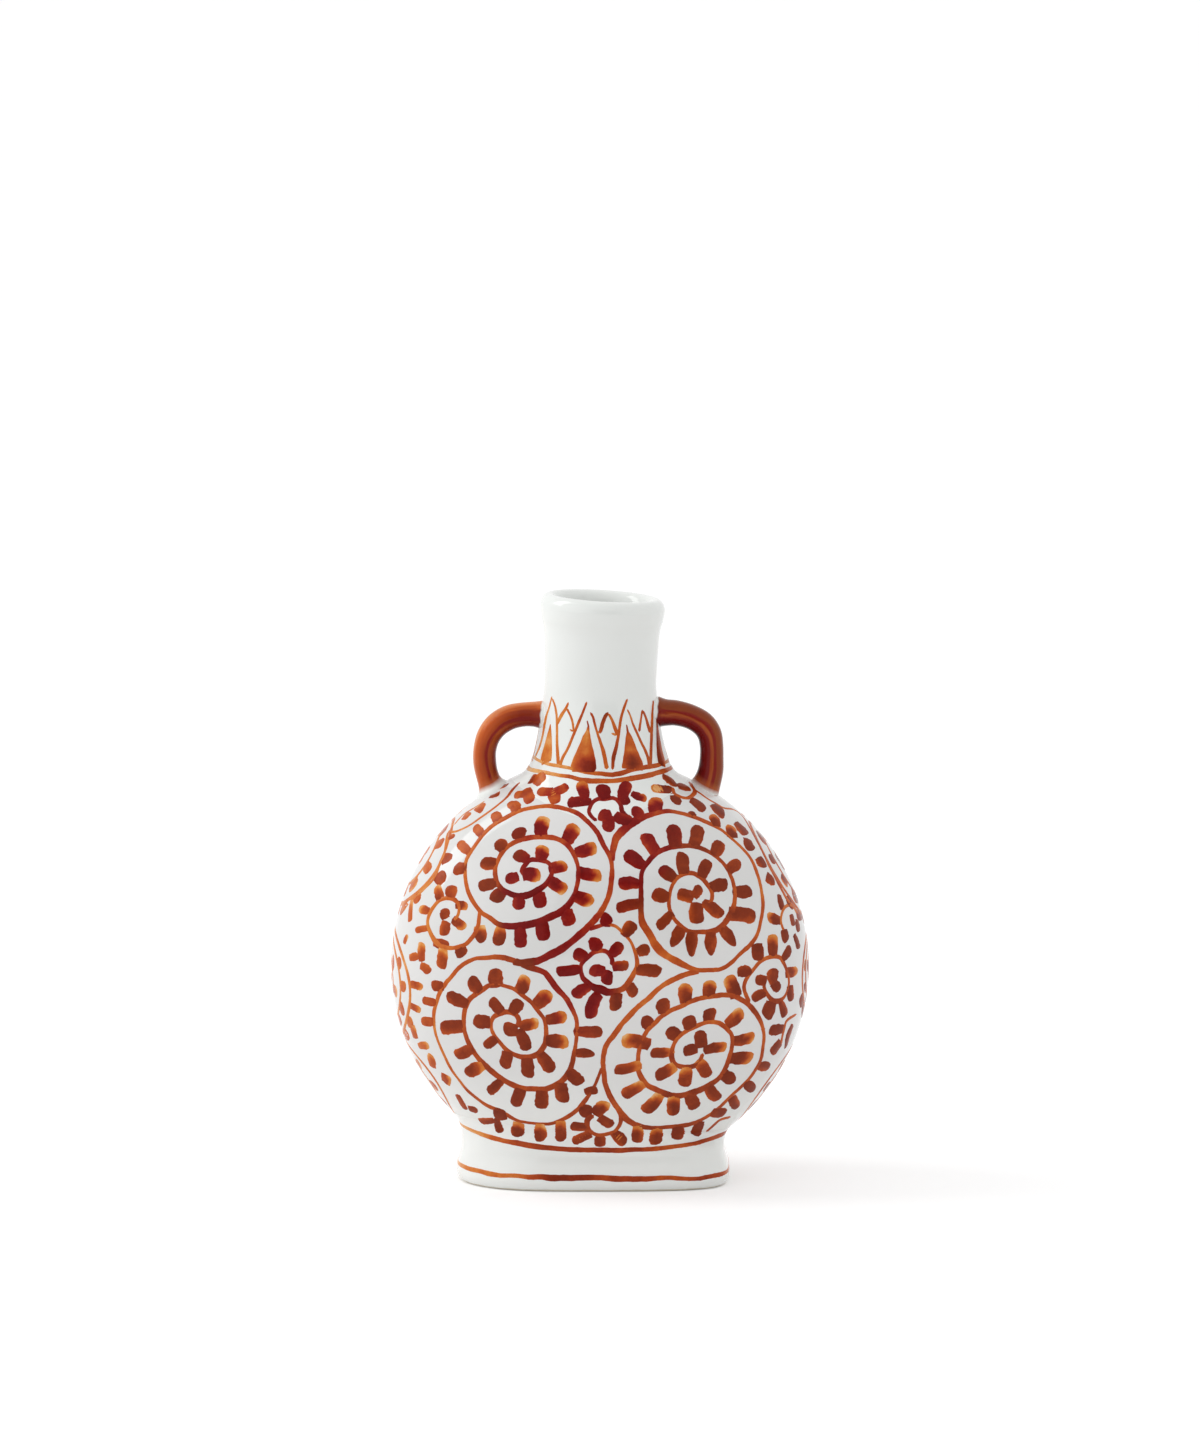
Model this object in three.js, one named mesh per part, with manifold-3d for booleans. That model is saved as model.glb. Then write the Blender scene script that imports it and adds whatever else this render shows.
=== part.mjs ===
// A small porcelain moon flask. Two pressed dishes stand face to face as a round, flattened body,
// which carries a neck with a rolled lip, an oval foot and two loop handles. The pieces are made
// apart and luted together with slip, which is modelled as the thin layer in every joint.
// Millimetres, +Z up, the front faces -Y, and the origin is on the ground below the body's centre.

import * as THREE from "three";
import { mergeVertices } from "three/addons/utils/BufferGeometryUtils.js";
import Module from "manifold-3d";

// Body: one dish profile, turned about the Y axis
const bodyRadius = 41.8; // of the circle seen from the front
const bodyHalfDepth = 25.5;
const bodyWall = 3.2;
const floorThickness = 3.5;
const roundness = 2.2; // power of the superellipse in the dishes, where 2 is an ellipse

// Joints: the slip layer, and the gap kept to a curved face
const slipThickness = 0.8;
const jointGap = 0.3;

// Foot: an oval ring, open below
const footHeight = 9.6;
const footTopHalfWidth = 26.6;
const footWaistHalfWidth = 26.3;
const footWaistHeight = 7.4;
const footBaseHalfWidth = 27.3;
const footBaseHalfDepth = 18.8;
const footEdgeRadius = 1.7; // rounding of the outer edge at the ground
const footWall = 4.6;
const footRimWidth = 3.7; // at the ground
const footLeftPower = 2.4;
const footRightPower = 4.2; // the oval is squarer on the right
const footOffset = -1.4; // the ring was set a little left of the body's centre

// Neck: a tube that flares onto the shoulder and ends in a rolled lip
const neckHeight = 36.7;
const neckRadius = 11.4;
const neckWall = 2.8;
const neckBaseHalfWidth = 18.7;
const flareHeight = 15.6;
const flarePower = 3.7; // how late the flare climbs
const lipRadius = 12.45;
const lipHeight = 5;
const lipSlant = 1.2; // drop of the rim from its left side to its right

// Handles: loops of oval section from the neck to the shoulder
const handleThickness = 4.5;
const handleDepth = 6;
const handleReach = 23.1; // from the neck's axis to the middle of the upright
const handleBend = 8.8; // reach of the curve between the arm and the upright
const handleRootHeight = 12.6; // of the upper joint above the neck's base
const handleLanding = 22.3; // from the neck's axis to the lower joint

// Facets
const bodySegments = 64;
const dishRings = 10;
const ringSegments = 48;
const flareRings = 8;
const lipRings = 5;
const footEdgeRings = 4;
const handleSides = 16;
const handleSteps = 22;

// Half the flask's thickness at a distance from the dish's axis
function dishDepth(distance, radius, halfDepth) {
  return halfDepth * (1 - (distance / radius) ** roundness) ** (1 / roundness);
}

// Places that follow from the sizes
const bodyBottom = footHeight + slipThickness;
const footSeatDrop = Math.sqrt(bodyRadius ** 2 - footTopHalfWidth ** 2);
const neckSeatRise = Math.sqrt(bodyRadius ** 2 - neckBaseHalfWidth ** 2);
const bodyCentre = bodyBottom + footSeatDrop;
const neckBottom = bodyCentre + neckSeatRise + slipThickness;
const footTopHalfDepth = dishDepth(footSeatDrop, bodyRadius, bodyHalfDepth);
const neckBaseHalfDepth = dishDepth(neckSeatRise, bodyRadius, bodyHalfDepth);
const boreRadius = neckRadius - neckWall;
const cutterReach = 2 * (bodyRadius + neckHeight + footHeight); // longer than the flask

const wasm = await Module();
wasm.setup();

function solidOf(geometry) {
  const bare = geometry.clone();
  bare.deleteAttribute("normal");
  bare.deleteAttribute("uv");
  const merged = mergeVertices(bare, 1e-4);
  return new wasm.Manifold(
    new wasm.Mesh({
      numProp: 3,
      vertProperties: new Float32Array(merged.attributes.position.array),
      triVerts: new Uint32Array(merged.index.array),
    }),
  );
}

function geometryOf(solid) {
  const mesh = solid.getMesh();
  const geometry = new THREE.BufferGeometry();
  geometry.setAttribute("position", new THREE.BufferAttribute(mesh.vertProperties, 3));
  geometry.setIndex(new THREE.BufferAttribute(mesh.triVerts, 1));
  geometry.computeVertexNormals();
  return geometry;
}

// A block between two corners
function block(low, high) {
  const size = new THREE.Vector3().subVectors(high, low);
  const middle = new THREE.Vector3().addVectors(low, high).multiplyScalar(0.5);
  return solidOf(new THREE.BoxGeometry(size.x, size.y, size.z).translate(...middle));
}

// The lens that two dishes enclose, turned about the Y axis round the body's centre
function lens(radius, halfDepth) {
  const profile = [];
  for (let i = 0; i <= 2 * dishRings; i += 1) {
    const turn = (Math.PI * i) / (2 * dishRings);
    const side = Math.cos(turn);
    const distance = radius * Math.sin(turn) ** (2 / roundness);
    const depth = -halfDepth * Math.sign(side) * Math.abs(side) ** (2 / roundness);
    profile.push(new THREE.Vector2(distance, depth));
  }
  profile[0].x = 0;
  profile[2 * dishRings].x = 0;
  return solidOf(new THREE.LatheGeometry(profile, bodySegments));
}

// The power is a function of the turn
function ovalPoint(halfWidth, halfDepth, turn, power) {
  const across = Math.cos(turn);
  const along = Math.sin(turn);
  return new THREE.Vector2(
    halfWidth * Math.sign(across) * Math.abs(across) ** (2 / power(turn)),
    halfDepth * Math.sign(along) * Math.abs(along) ** (2 / power(turn)),
  );
}

const ellipse = () => 2;
const bodySection = () => roundness;

function footSection(turn) {
  return THREE.MathUtils.lerp(footLeftPower, footRightPower, (1 + Math.cos(turn)) / 2);
}

// A piece turned about the Z axis from a profile whose points are ovals of their own width and depth
function ovalTurning(profile, power) {
  const outline = profile.map((p) => new THREE.Vector2(p.halfWidth, p.height));
  const geometry = new THREE.LatheGeometry(outline, ringSegments).rotateX(Math.PI / 2);
  const position = geometry.attributes.position;
  for (let i = 0; i < position.count; i += 1) {
    const ring = profile[i % profile.length];
    const turn = (2 * Math.PI * Math.floor(i / profile.length)) / ringSegments;
    const point = ovalPoint(ring.halfWidth, ring.halfDepth, turn, ring.power ?? power);
    position.setXYZ(i, point.x, point.y, ring.height);
  }
  return geometry;
}

function ovalShape(halfWidth, halfDepth, power) {
  const points = [];
  for (let i = 0; i < ringSegments; i += 1) {
    points.push(ovalPoint(halfWidth, halfDepth, (2 * Math.PI * i) / ringSegments, power));
  }
  return new THREE.Shape(points);
}

// A flat ring of slip, standing on the ground plane of its own group
function slipRing(outer, hole) {
  outer.holes.push(hole);
  return new THREE.ExtrudeGeometry(outer, { depth: slipThickness, bevelEnabled: false });
}

// Dishes: the lens less its hollow and the mouth, cut flat at the seam, the foot and the neck
const hollow = lens(bodyRadius - bodyWall, bodyHalfDepth - bodyWall)
  .intersect(
    block(
      new THREE.Vector3(-cutterReach, -cutterReach, floorThickness - footSeatDrop),
      new THREE.Vector3(cutterReach, cutterReach, cutterReach),
    ),
  )
  .add(
    solidOf(
      new THREE.CylinderGeometry(boreRadius, boreRadius, cutterReach, ringSegments)
        .rotateX(Math.PI / 2)
        .translate(0, 0, cutterReach / 2),
    ),
  );
const bodyShell = lens(bodyRadius, bodyHalfDepth).subtract(hollow);

function dish(side) {
  const seam = (side * slipThickness) / 2;
  const back = side * cutterReach;
  return geometryOf(
    bodyShell.intersect(
      block(
        new THREE.Vector3(-cutterReach, Math.min(seam, back), -footSeatDrop),
        new THREE.Vector3(cutterReach, Math.max(seam, back), neckSeatRise),
      ),
    ),
  );
}

// The seam's slip: the slice of the body between the two dishes
function seamSlip() {
  return geometryOf(
    bodyShell.intersect(
      block(
        new THREE.Vector3(-cutterReach, -slipThickness / 2, -footSeatDrop),
        new THREE.Vector3(cutterReach, slipThickness / 2, neckSeatRise),
      ),
    ),
  );
}

// The neck's outside, from its base to the underside of the lip
function neckOutside(clearance) {
  const points = [];
  for (let i = 0; i <= flareRings; i += 1) {
    const share = i / flareRings;
    points.push({
      halfWidth: THREE.MathUtils.lerp(neckBaseHalfWidth, neckRadius, share) + clearance,
      halfDepth: THREE.MathUtils.lerp(neckBaseHalfDepth, neckRadius, share) + clearance,
      height: flareHeight * share ** flarePower,
    });
  }
  return points;
}

function roundRing(radius, height) {
  return { halfWidth: radius, halfDepth: radius, height };
}

function neckTube() {
  const lipMiddle = (lipRadius + boreRadius) / 2;
  const lipRound = (lipRadius - boreRadius) / 2;
  const lip = new THREE.Path();
  lip.moveTo(neckRadius, neckHeight - lipHeight);
  lip.bezierCurveTo(
    neckRadius,
    neckHeight - lipHeight + lipRound / 2,
    lipRadius,
    neckHeight - 2 * lipRound,
    lipRadius,
    neckHeight - lipRound,
  );
  lip.absarc(lipMiddle, neckHeight - lipRound, lipRound, 0, Math.PI);
  const profile = [
    ...neckOutside(0),
    ...lip.getPoints(lipRings).map((p) => roundRing(p.x, p.y)),
    roundRing(boreRadius, 0),
    neckOutside(0)[0],
  ];
  const geometry = ovalTurning(profile, ellipse);
  const position = geometry.attributes.position;
  for (let i = 0; i < position.count; i += 1) {
    const climb = (position.getZ(i) - flareHeight) / (neckHeight - flareHeight);
    const tilt = (-lipSlant * position.getX(i)) / (2 * lipRadius);
    position.setZ(i, position.getZ(i) + tilt * Math.max(climb, 0));
  }
  return geometryOf(solidOf(geometry));
}

function neckSlip() {
  const hole = ovalShape(boreRadius, boreRadius, ellipse);
  return slipRing(ovalShape(neckBaseHalfWidth, neckBaseHalfDepth, ellipse), hole);
}

// The foot's section: up the outside from the rounded ground edge, over the top and down the recess
function footRing() {
  const profile = [];
  for (let i = 0; i <= footEdgeRings; i += 1) {
    const turn = (Math.PI / 2) * (i / footEdgeRings);
    const inset = footEdgeRadius * (1 - Math.sin(turn));
    profile.push({
      halfWidth: footBaseHalfWidth - inset,
      halfDepth: footBaseHalfDepth - inset,
      height: footEdgeRadius * (1 - Math.cos(turn)),
    });
  }
  profile.push({
    halfWidth: footWaistHalfWidth,
    halfDepth: footTopHalfDepth - (footTopHalfWidth - footWaistHalfWidth),
    height: footWaistHeight,
  });
  profile.push({
    halfWidth: footTopHalfWidth,
    halfDepth: footTopHalfDepth,
    height: footHeight,
    power: bodySection,
  });
  profile.push({
    halfWidth: footTopHalfWidth - footWall,
    halfDepth: footTopHalfDepth - footWall,
    height: footHeight,
  });
  profile.push({
    halfWidth: footBaseHalfWidth - footRimWidth,
    halfDepth: footBaseHalfDepth - footRimWidth,
    height: 0,
  });
  profile.push(profile[0]);
  return geometryOf(solidOf(ovalTurning(profile, footSection)));
}

function footSlip() {
  const hole = ovalShape(footTopHalfWidth - footWall, footTopHalfDepth - footWall, footSection);
  return slipRing(ovalShape(footTopHalfWidth, footTopHalfDepth, bodySection), hole);
}

// The solids that a handle's ends are fitted to, in the neck's frame
function neckEnvelope(clearance) {
  const outside = neckOutside(clearance);
  const profile = [
    roundRing(0, 0),
    ...outside,
    roundRing(neckRadius + clearance, neckHeight),
    roundRing(0, neckHeight),
  ];
  return solidOf(ovalTurning(profile, ellipse));
}

function shoulderEnvelope(clearance) {
  return lens(bodyRadius + clearance, bodyHalfDepth + clearance).translate(
    0,
    0,
    bodyCentre - neckBottom,
  );
}

// The loop before its ends are fitted: out from the neck, round the bend and down to the shoulder
function handleLoop(side) {
  const shoulder = bodyCentre - neckBottom + Math.sqrt(bodyRadius ** 2 - handleLanding ** 2);
  const at = (x, z) => new THREE.Vector3(side * x, 0, z);
  const bendStart = at(handleReach - handleBend, handleRootHeight);
  const bendCorner = at(handleReach, handleRootHeight);
  const bendEnd = at(handleReach, handleRootHeight - handleBend);
  const route = new THREE.CurvePath();
  route.add(new THREE.LineCurve3(at(boreRadius, handleRootHeight), bendStart));
  route.add(new THREE.QuadraticBezierCurve3(bendStart, bendCorner, bendEnd));
  route.add(new THREE.LineCurve3(bendEnd, at(handleLanding, shoulder - bodyWall)));
  const section = new THREE.Shape();
  section.absellipse(0, 0, handleThickness / 2, handleDepth / 2, 0, 2 * Math.PI);
  return solidOf(
    new THREE.ExtrudeGeometry(new THREE.Shape(section.getSpacedPoints(handleSides).slice(1)), {
      steps: handleSteps,
      extrudePath: route,
    }),
  );
}

const slipEnd = jointGap + slipThickness;

function handle(side) {
  const fitted = slipEnd + jointGap;
  return geometryOf(
    handleLoop(side).subtract(neckEnvelope(fitted)).subtract(shoulderEnvelope(fitted)),
  );
}

// A pad of slip in the joint between a handle's end and the face that carries it
function handleSlip(side, envelope, low, high) {
  return geometryOf(
    handleLoop(side)
      .intersect(envelope(slipEnd))
      .subtract(envelope(jointGap))
      .intersect(
        block(
          new THREE.Vector3(-cutterReach, -cutterReach, low),
          new THREE.Vector3(cutterReach, cutterReach, high),
        ),
      ),
  );
}

const porcelain = { color: 0xeceeec, roughness: 0.12, metalness: 0 };
const ironRed = { color: 0x8c3a18, roughness: 0.2, metalness: 0 };
const slipClay = { color: 0xe4e2dc, roughness: 0.6, metalness: 0 };

function piece(name, geometry, finish) {
  const mesh = new THREE.Mesh(geometry, new THREE.MeshStandardMaterial(finish));
  mesh.name = name;
  return mesh;
}

const body = new THREE.Group();
body.position.z = bodyCentre;
body.add(
  piece("front_dish", dish(-1), porcelain),
  piece("back_dish", dish(1), porcelain),
  piece("seam_slip", seamSlip(), slipClay),
);

const neck = new THREE.Group();
neck.position.z = neckBottom;
neck.add(piece("neck", neckTube(), porcelain));
for (const [word, side] of [
  ["left", -1],
  ["right", 1],
]) {
  neck.add(
    piece(`${word}_handle`, handle(side), ironRed),
    piece(
      `${word}_handle_neck_slip`,
      handleSlip(side, neckEnvelope, handleRootHeight - handleBend, neckHeight),
      slipClay,
    ),
    piece(
      `${word}_handle_shoulder_slip`,
      handleSlip(side, shoulderEnvelope, -cutterReach, handleRootHeight - handleBend),
      slipClay,
    ),
  );
}

const neckJoint = piece("neck_slip", neckSlip(), slipClay);
neckJoint.position.z = bodyCentre + neckSeatRise;

const foot = new THREE.Group();
foot.position.x = footOffset;
const footJoint = piece("foot_slip", footSlip(), slipClay);
footJoint.position.z = footHeight;
foot.add(piece("foot_ring", footRing(), porcelain), footJoint);

const flask = new THREE.Group();
flask.add(body, neckJoint, neck, foot);

export default flask;
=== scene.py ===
import math
import random

import bpy
from mathutils import Matrix, Vector
from mathutils.bvhtree import BVHTree


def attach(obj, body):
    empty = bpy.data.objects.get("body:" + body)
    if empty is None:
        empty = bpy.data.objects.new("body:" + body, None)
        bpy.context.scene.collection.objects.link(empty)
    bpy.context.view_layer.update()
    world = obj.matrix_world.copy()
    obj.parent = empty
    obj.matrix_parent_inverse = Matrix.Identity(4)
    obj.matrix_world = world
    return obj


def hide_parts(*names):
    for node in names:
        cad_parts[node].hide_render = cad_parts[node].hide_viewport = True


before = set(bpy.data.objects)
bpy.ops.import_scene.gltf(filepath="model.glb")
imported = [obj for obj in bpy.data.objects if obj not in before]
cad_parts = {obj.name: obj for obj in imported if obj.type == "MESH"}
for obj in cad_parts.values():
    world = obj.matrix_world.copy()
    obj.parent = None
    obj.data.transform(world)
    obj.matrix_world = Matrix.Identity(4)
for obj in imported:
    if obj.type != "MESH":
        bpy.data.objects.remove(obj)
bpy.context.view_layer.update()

mm = 0.001

cameraSet = {
    "eye": (0.0, -1.978, 0.338),
    "aim": (0.0, 0.0, 0.09223),
    "lens": 250.0,
    "sensor": 36.0,
    "imageWidth": 1200,
    "imageHeight": 1440,
}


def makeCamera():
    eye = Vector(cameraSet["eye"])
    sight = Vector(cameraSet["aim"]) - eye
    bpy.ops.object.camera_add(location=eye, rotation=sight.to_track_quat("-Z", "Y").to_euler())
    camera = bpy.context.object
    camera.name = "frontCamera"
    camera.data.sensor_fit = "VERTICAL"
    camera.data.sensor_height = cameraSet["sensor"]
    camera.data.lens = cameraSet["lens"]
    bpy.context.scene.camera = camera


def sightLine(across, down):
    # the ray from the eye through a pixel of the photograph
    eye = Vector(cameraSet["eye"])
    ahead = (Vector(cameraSet["aim"]) - eye).normalized()
    right = ahead.cross(Vector((0, 0, 1))).normalized()
    up = right.cross(ahead)
    focal = cameraSet["lens"] / cameraSet["sensor"] * cameraSet["imageHeight"]
    ray = ahead * focal
    ray += right * (across - cameraSet["imageWidth"] / 2)
    ray -= up * (down - cameraSet["imageHeight"] / 2)
    return eye, ray.normalized()


makeCamera()
print("camera set")

# modelling helpers

mergeGap = 0.002 * mm  # corners nearer than this are one


def clearSelection():
    if bpy.context.object and bpy.context.object.mode != "OBJECT":
        bpy.ops.object.mode_set(mode="OBJECT")
    bpy.ops.object.select_all(action="DESELECT")


def pick(piece):
    clearSelection()
    piece.select_set(True)
    bpy.context.view_layer.objects.active = piece


def drawProfile(name, points):
    # one vertex, extruded from point to point
    clearSelection()
    bpy.ops.mesh.primitive_plane_add(size=mm)
    piece = bpy.context.object
    piece.name = name
    piece.data.name = name
    bpy.ops.object.mode_set(mode="EDIT")
    bpy.ops.mesh.select_all(action="SELECT")
    bpy.ops.mesh.merge(type="CENTER")
    bpy.ops.transform.translate(value=points[0])
    for last, point in zip(points, points[1:]):
        step = [b - a for a, b in zip(last, point)]
        bpy.ops.mesh.extrude_vertices_move(TRANSFORM_OT_translate={"value": step})
    return piece


def spinProfile(piece, steps, centre, axis):
    bpy.ops.mesh.select_all(action="SELECT")
    bpy.ops.mesh.spin(steps=steps, angle=2 * math.pi, center=centre, axis=axis)
    bpy.ops.mesh.select_all(action="SELECT")
    bpy.ops.mesh.remove_doubles(threshold=mergeGap)
    bpy.ops.mesh.normals_make_consistent(inside=False)
    bpy.ops.object.mode_set(mode="OBJECT")


def faceOutward(piece):
    pick(piece)
    bpy.ops.object.mode_set(mode="EDIT")
    bpy.ops.mesh.select_all(action="SELECT")
    bpy.ops.mesh.normals_make_consistent(inside=False)
    bpy.ops.object.mode_set(mode="OBJECT")


def coat(piece, material, degrees):
    # one finish all over, with edges kept where they are sharper than the angle
    pick(piece)
    bpy.ops.object.shade_smooth_by_angle(angle=math.radians(degrees))
    piece.data.materials.clear()
    piece.data.materials.append(material)


def applyModifier(piece, kind, **settings):
    pick(piece)
    modifier = piece.modifiers.new(kind.lower(), kind)
    for key, value in settings.items():
        setattr(modifier, key, value)
    bpy.ops.object.modifier_apply(modifier=modifier.name)


def curveThrough(points, step):
    # a smooth curve through given points, with evenly stepped stations
    size = len(points[0])
    ends = [points[0]] + list(points) + [points[-1]]
    dense = []
    for a, b, c, d in zip(ends, ends[1:], ends[2:], ends[3:]):
        count = max(2, math.ceil(math.dist(b[:2], c[:2]) / step))
        for i in range(count):
            t = i / count
            dense.append(tuple(
                0.5 * (2 * b[k] + (c[k] - a[k]) * t + (2 * a[k] - 5 * b[k] + 4 * c[k] - d[k]) * t * t
                       + (3 * b[k] - a[k] - 3 * c[k] + d[k]) * t ** 3)
                for k in range(size)))
    dense.append(tuple(points[-1]))
    return dense


# materials

noiseMost = (0.25, 0.75)  # nearly all of a noise lies between these
noiseMiddle = (0.3, 0.7)
plainDetail = 1.0
fineDetail = 3.0


def newMaterial(name):
    material = bpy.data.materials.new(name)
    material.use_nodes = True
    tree = material.node_tree
    shader = tree.nodes["Principled BSDF"]
    return material, tree, shader


def addNode(tree, kind, **inputs):
    node = tree.nodes.new(kind)
    for name, value in inputs.items():
        node.inputs[name].default_value = value
    return node


def noise(tree, vector, scale, detail=2.0, rough=0.5):
    node = addNode(tree, "ShaderNodeTexNoise", Scale=scale, Detail=detail, Roughness=rough)
    tree.links.new(vector, node.inputs["Vector"])
    return node.outputs["Fac"]


def spread(tree, value, low, high, newLow, newHigh):
    node = tree.nodes.new("ShaderNodeMapRange")
    names = ("From Min", "From Max", "To Min", "To Max")
    for name, number in zip(names, (low, high, newLow, newHigh)):
        node.inputs[name].default_value = number
    tree.links.new(value, node.inputs["Value"])
    return node.outputs["Result"]


def sway(tree, value, share):
    # a noise as plus or minus a share
    return spread(tree, value, *noiseMost, -share, share)


def readAttribute(tree, name):
    node = tree.nodes.new("ShaderNodeAttribute")
    node.attribute_name = name
    return node.outputs


def splitVector(tree, vector):
    node = tree.nodes.new("ShaderNodeSeparateXYZ")
    tree.links.new(vector, node.inputs["Vector"])
    return node.outputs


def reckon(tree, operation, first, second):
    node = tree.nodes.new("ShaderNodeMath")
    node.operation = operation
    for socket, value in zip(node.inputs, (first, second)):
        if isinstance(value, (int, float)):
            socket.default_value = value
        else:
            tree.links.new(value, socket)
    return node.outputs["Value"]


def blendColours(tree, share, first, second):
    # sockets 6, 7 and 2 of a mix node carry its colours
    node = tree.nodes.new("ShaderNodeMix")
    node.data_type = "RGBA"
    tree.links.new(share, node.inputs["Factor"])
    for socket, value in zip((node.inputs[6], node.inputs[7]), (first, second)):
        if isinstance(value, tuple):
            socket.default_value = value
        else:
            tree.links.new(value, socket)
    return node.outputs[2]


def screenColour(red, green, blue):
    # a colour as it is read off a screen, made linear
    return tuple((c / 255 / 12.92 if c <= 10 else ((c / 255 + 0.055) / 1.055) ** 2.4)
                 for c in (red, green, blue)) + (1.0,)


def colourRamp(tree, value, stops):
    node = tree.nodes.new("ShaderNodeValToRGB")
    ramp = node.color_ramp
    while len(ramp.elements) < len(stops):
        ramp.elements.new(0.5)
    for element, (place, colour) in zip(ramp.elements, stops):
        element.position = place
        element.color = screenColour(*colour)
    tree.links.new(value, node.inputs["Fac"])
    return node.outputs["Color"]


def bumpFrom(tree, shader, height, distance, strength):
    node = addNode(tree, "ShaderNodeBump", Strength=strength, Distance=distance)
    tree.links.new(height, node.inputs["Height"])
    tree.links.new(node.outputs["Normal"], shader.inputs["Normal"])


glazeLook = {
    "white": (236, 238, 235),
    "pool": (231, 234, 231),  # where the glaze lies thicker
    "shadedBodyWhite": (225, 224, 223),  # the body dishes' white, painted darker than the neck and foot as painted shade
    "shadedBodyPool": (219, 219, 217),
    "poolScale": 38.0,
    "poolRange": (0.35, 0.7),
    "runFrom": 26 * mm,  # the glaze ran down and lies whiter below
    "runTo": 12 * mm,
    "speck": (150, 128, 104),
    "speckScale": 95.0,
    "speckEdge": (0.022, 0.03),
    "speckMost": 0.6,
    "rareScale": 60.0,  # specks keep to a few places
    "rareRange": (0.6, 0.66),
    "bisque": (224, 217, 203),
    "bisqueGrain": (206, 196, 178),
    "grainScale": 2600.0,
    "bareHeight": 0.32 * mm,  # the foot is wiped clean of glaze up to here
    "bareEdge": 0.1 * mm,
    "bareRagged": 0.35 * mm,
    "raggedScale": 300.0,
    "bareRough": 0.6,
    "roughness": (0.05, 0.1),
    "roughScale": 70.0,
    "waveScale": 55.0,  # the slow waviness of a dipped glaze
    "rippleScale": 210.0,
    "rippleShare": 0.12,
    "gritShare": 0.2,
    "waveHeight": 0.25 * mm,
    "waveStrength": 0.35,
    "refraction": 1.5,
}

enamelLook = {
    "brown": [
        (0.0, (230, 176, 116)),
        (0.2, (214, 130, 58)),
        (0.42, (196, 94, 38)),
        (0.62, (170, 70, 30)),
        (0.8, (138, 53, 25)),
        (1.0, (119, 43, 21)),
    ],
    "crimson": [
        (0.0, (230, 176, 116)),
        (0.2, (212, 126, 54)),
        (0.42, (188, 82, 34)),
        (0.62, (158, 44, 25)),
        (0.8, (130, 22, 19)),
        (1.0, (110, 13, 13)),
    ],
    "cloudScale": 420.0,  # the pigment gathers in clouds and grains
    "cloudShare": 0.12,
    "grainScale": 2200.0,
    "grainShare": 0.04,
    "roughness": (0.14, 0.26),
    "roughScale": 500.0,
    "brushScale": 900.0,
    "brushHeight": 0.03 * mm,
    "brushStrength": 0.3,
    "gloss": 0.1,
}

handleLook = {
    "paintStart": {"left": 1.05 * mm, "right": 0.6 * mm},  # the neck's white glaze runs this far up each loop
    "paintEnd": {"left": 1.7 * mm, "right": 0.9 * mm},  # and the shoulder's glaze this far
    "startFade": 0.3 * mm,
    "endFade": (1.4 * mm, 0.2 * mm),  # short of its end the paint goes from none to full
    "ragged": 0.7 * mm,
    "raggedScale": 0.8,
    "halfThick": 2.3 * mm,
    "thin": (184, 96, 52),  # where it runs out
    "thinReach": 1.3 * mm,
    "thinMost": 0.6,
    "deep": (118, 28, 22),  # where the paint lies thick
    "thickReach": {"left": (5.0 * mm, 11.0 * mm), "right": (1.0 * mm, 2.0 * mm)},
    "thickMost": 0.75,
    "thickInside": (0.1, 0.25),  # the outer edge stays pale, as painted highlight
    "patchScale": 170.0,
    "patchRange": (0.45, 0.75),
    "patchMost": 0.25,
    "stretch": (75.0, 700.0, 700.0),  # streaks run along the loop
    "streak": 0.1,
    "streakScale": 1.0,
    "streakRough": 0.6,
    "streakHeight": 0.05 * mm,
    "streakStrength": 0.3,
    "roughness": (0.1, 0.2),
    "gloss": 0.11,
    "left": [  # bands of paint, from the outer edge to the inner; the left loop's pale outer edge is painted highlight and the dark inner edge of both loops is painted shade
        (0.0, (220, 132, 76)),
        (0.14, (200, 98, 42)),
        (0.3, (182, 80, 32)),
        (0.51, (164, 68, 28)),
        (0.57, (136, 30, 24)),
        (0.64, (134, 32, 24)),
        (0.7, (166, 78, 34)),
        (0.8, (152, 68, 30)),
        (0.87, (134, 48, 26)),
        (1.0, (120, 34, 22)),
    ],
    "right": [
        (0.0, (134, 62, 28)),
        (0.28, (142, 66, 30)),
        (0.35, (130, 30, 26)),
        (0.42, (132, 34, 26)),
        (0.48, (168, 84, 38)),
        (0.56, (156, 66, 32)),
        (0.63, (120, 22, 20)),
        (0.9, (100, 13, 16)),
        (1.0, (70, 7, 9)),
    ],
}


def glazeColour(tree, place, height, white, pool):
    look = glazeLook
    pooled = spread(tree, noise(tree, place, look["poolScale"]), *look["poolRange"], 0.0, 1.0)
    colour = blendColours(tree, pooled, screenColour(*look[white]), screenColour(*look[pool]))
    low = spread(tree, height, look["runFrom"], look["runTo"], 0.0, 1.0)
    colour = blendColours(tree, low, colour, screenColour(*look["white"]))
    cells = addNode(tree, "ShaderNodeTexVoronoi", Scale=look["speckScale"])
    tree.links.new(place, cells.inputs["Vector"])
    dots = spread(tree, cells.outputs["Distance"], *look["speckEdge"], 1.0, 0.0)
    rare = spread(tree, noise(tree, place, look["rareScale"]), *look["rareRange"], 0.0, look["speckMost"])
    return blendColours(tree, reckon(tree, "MULTIPLY", dots, rare), colour, screenColour(*look["speck"]))


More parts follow.
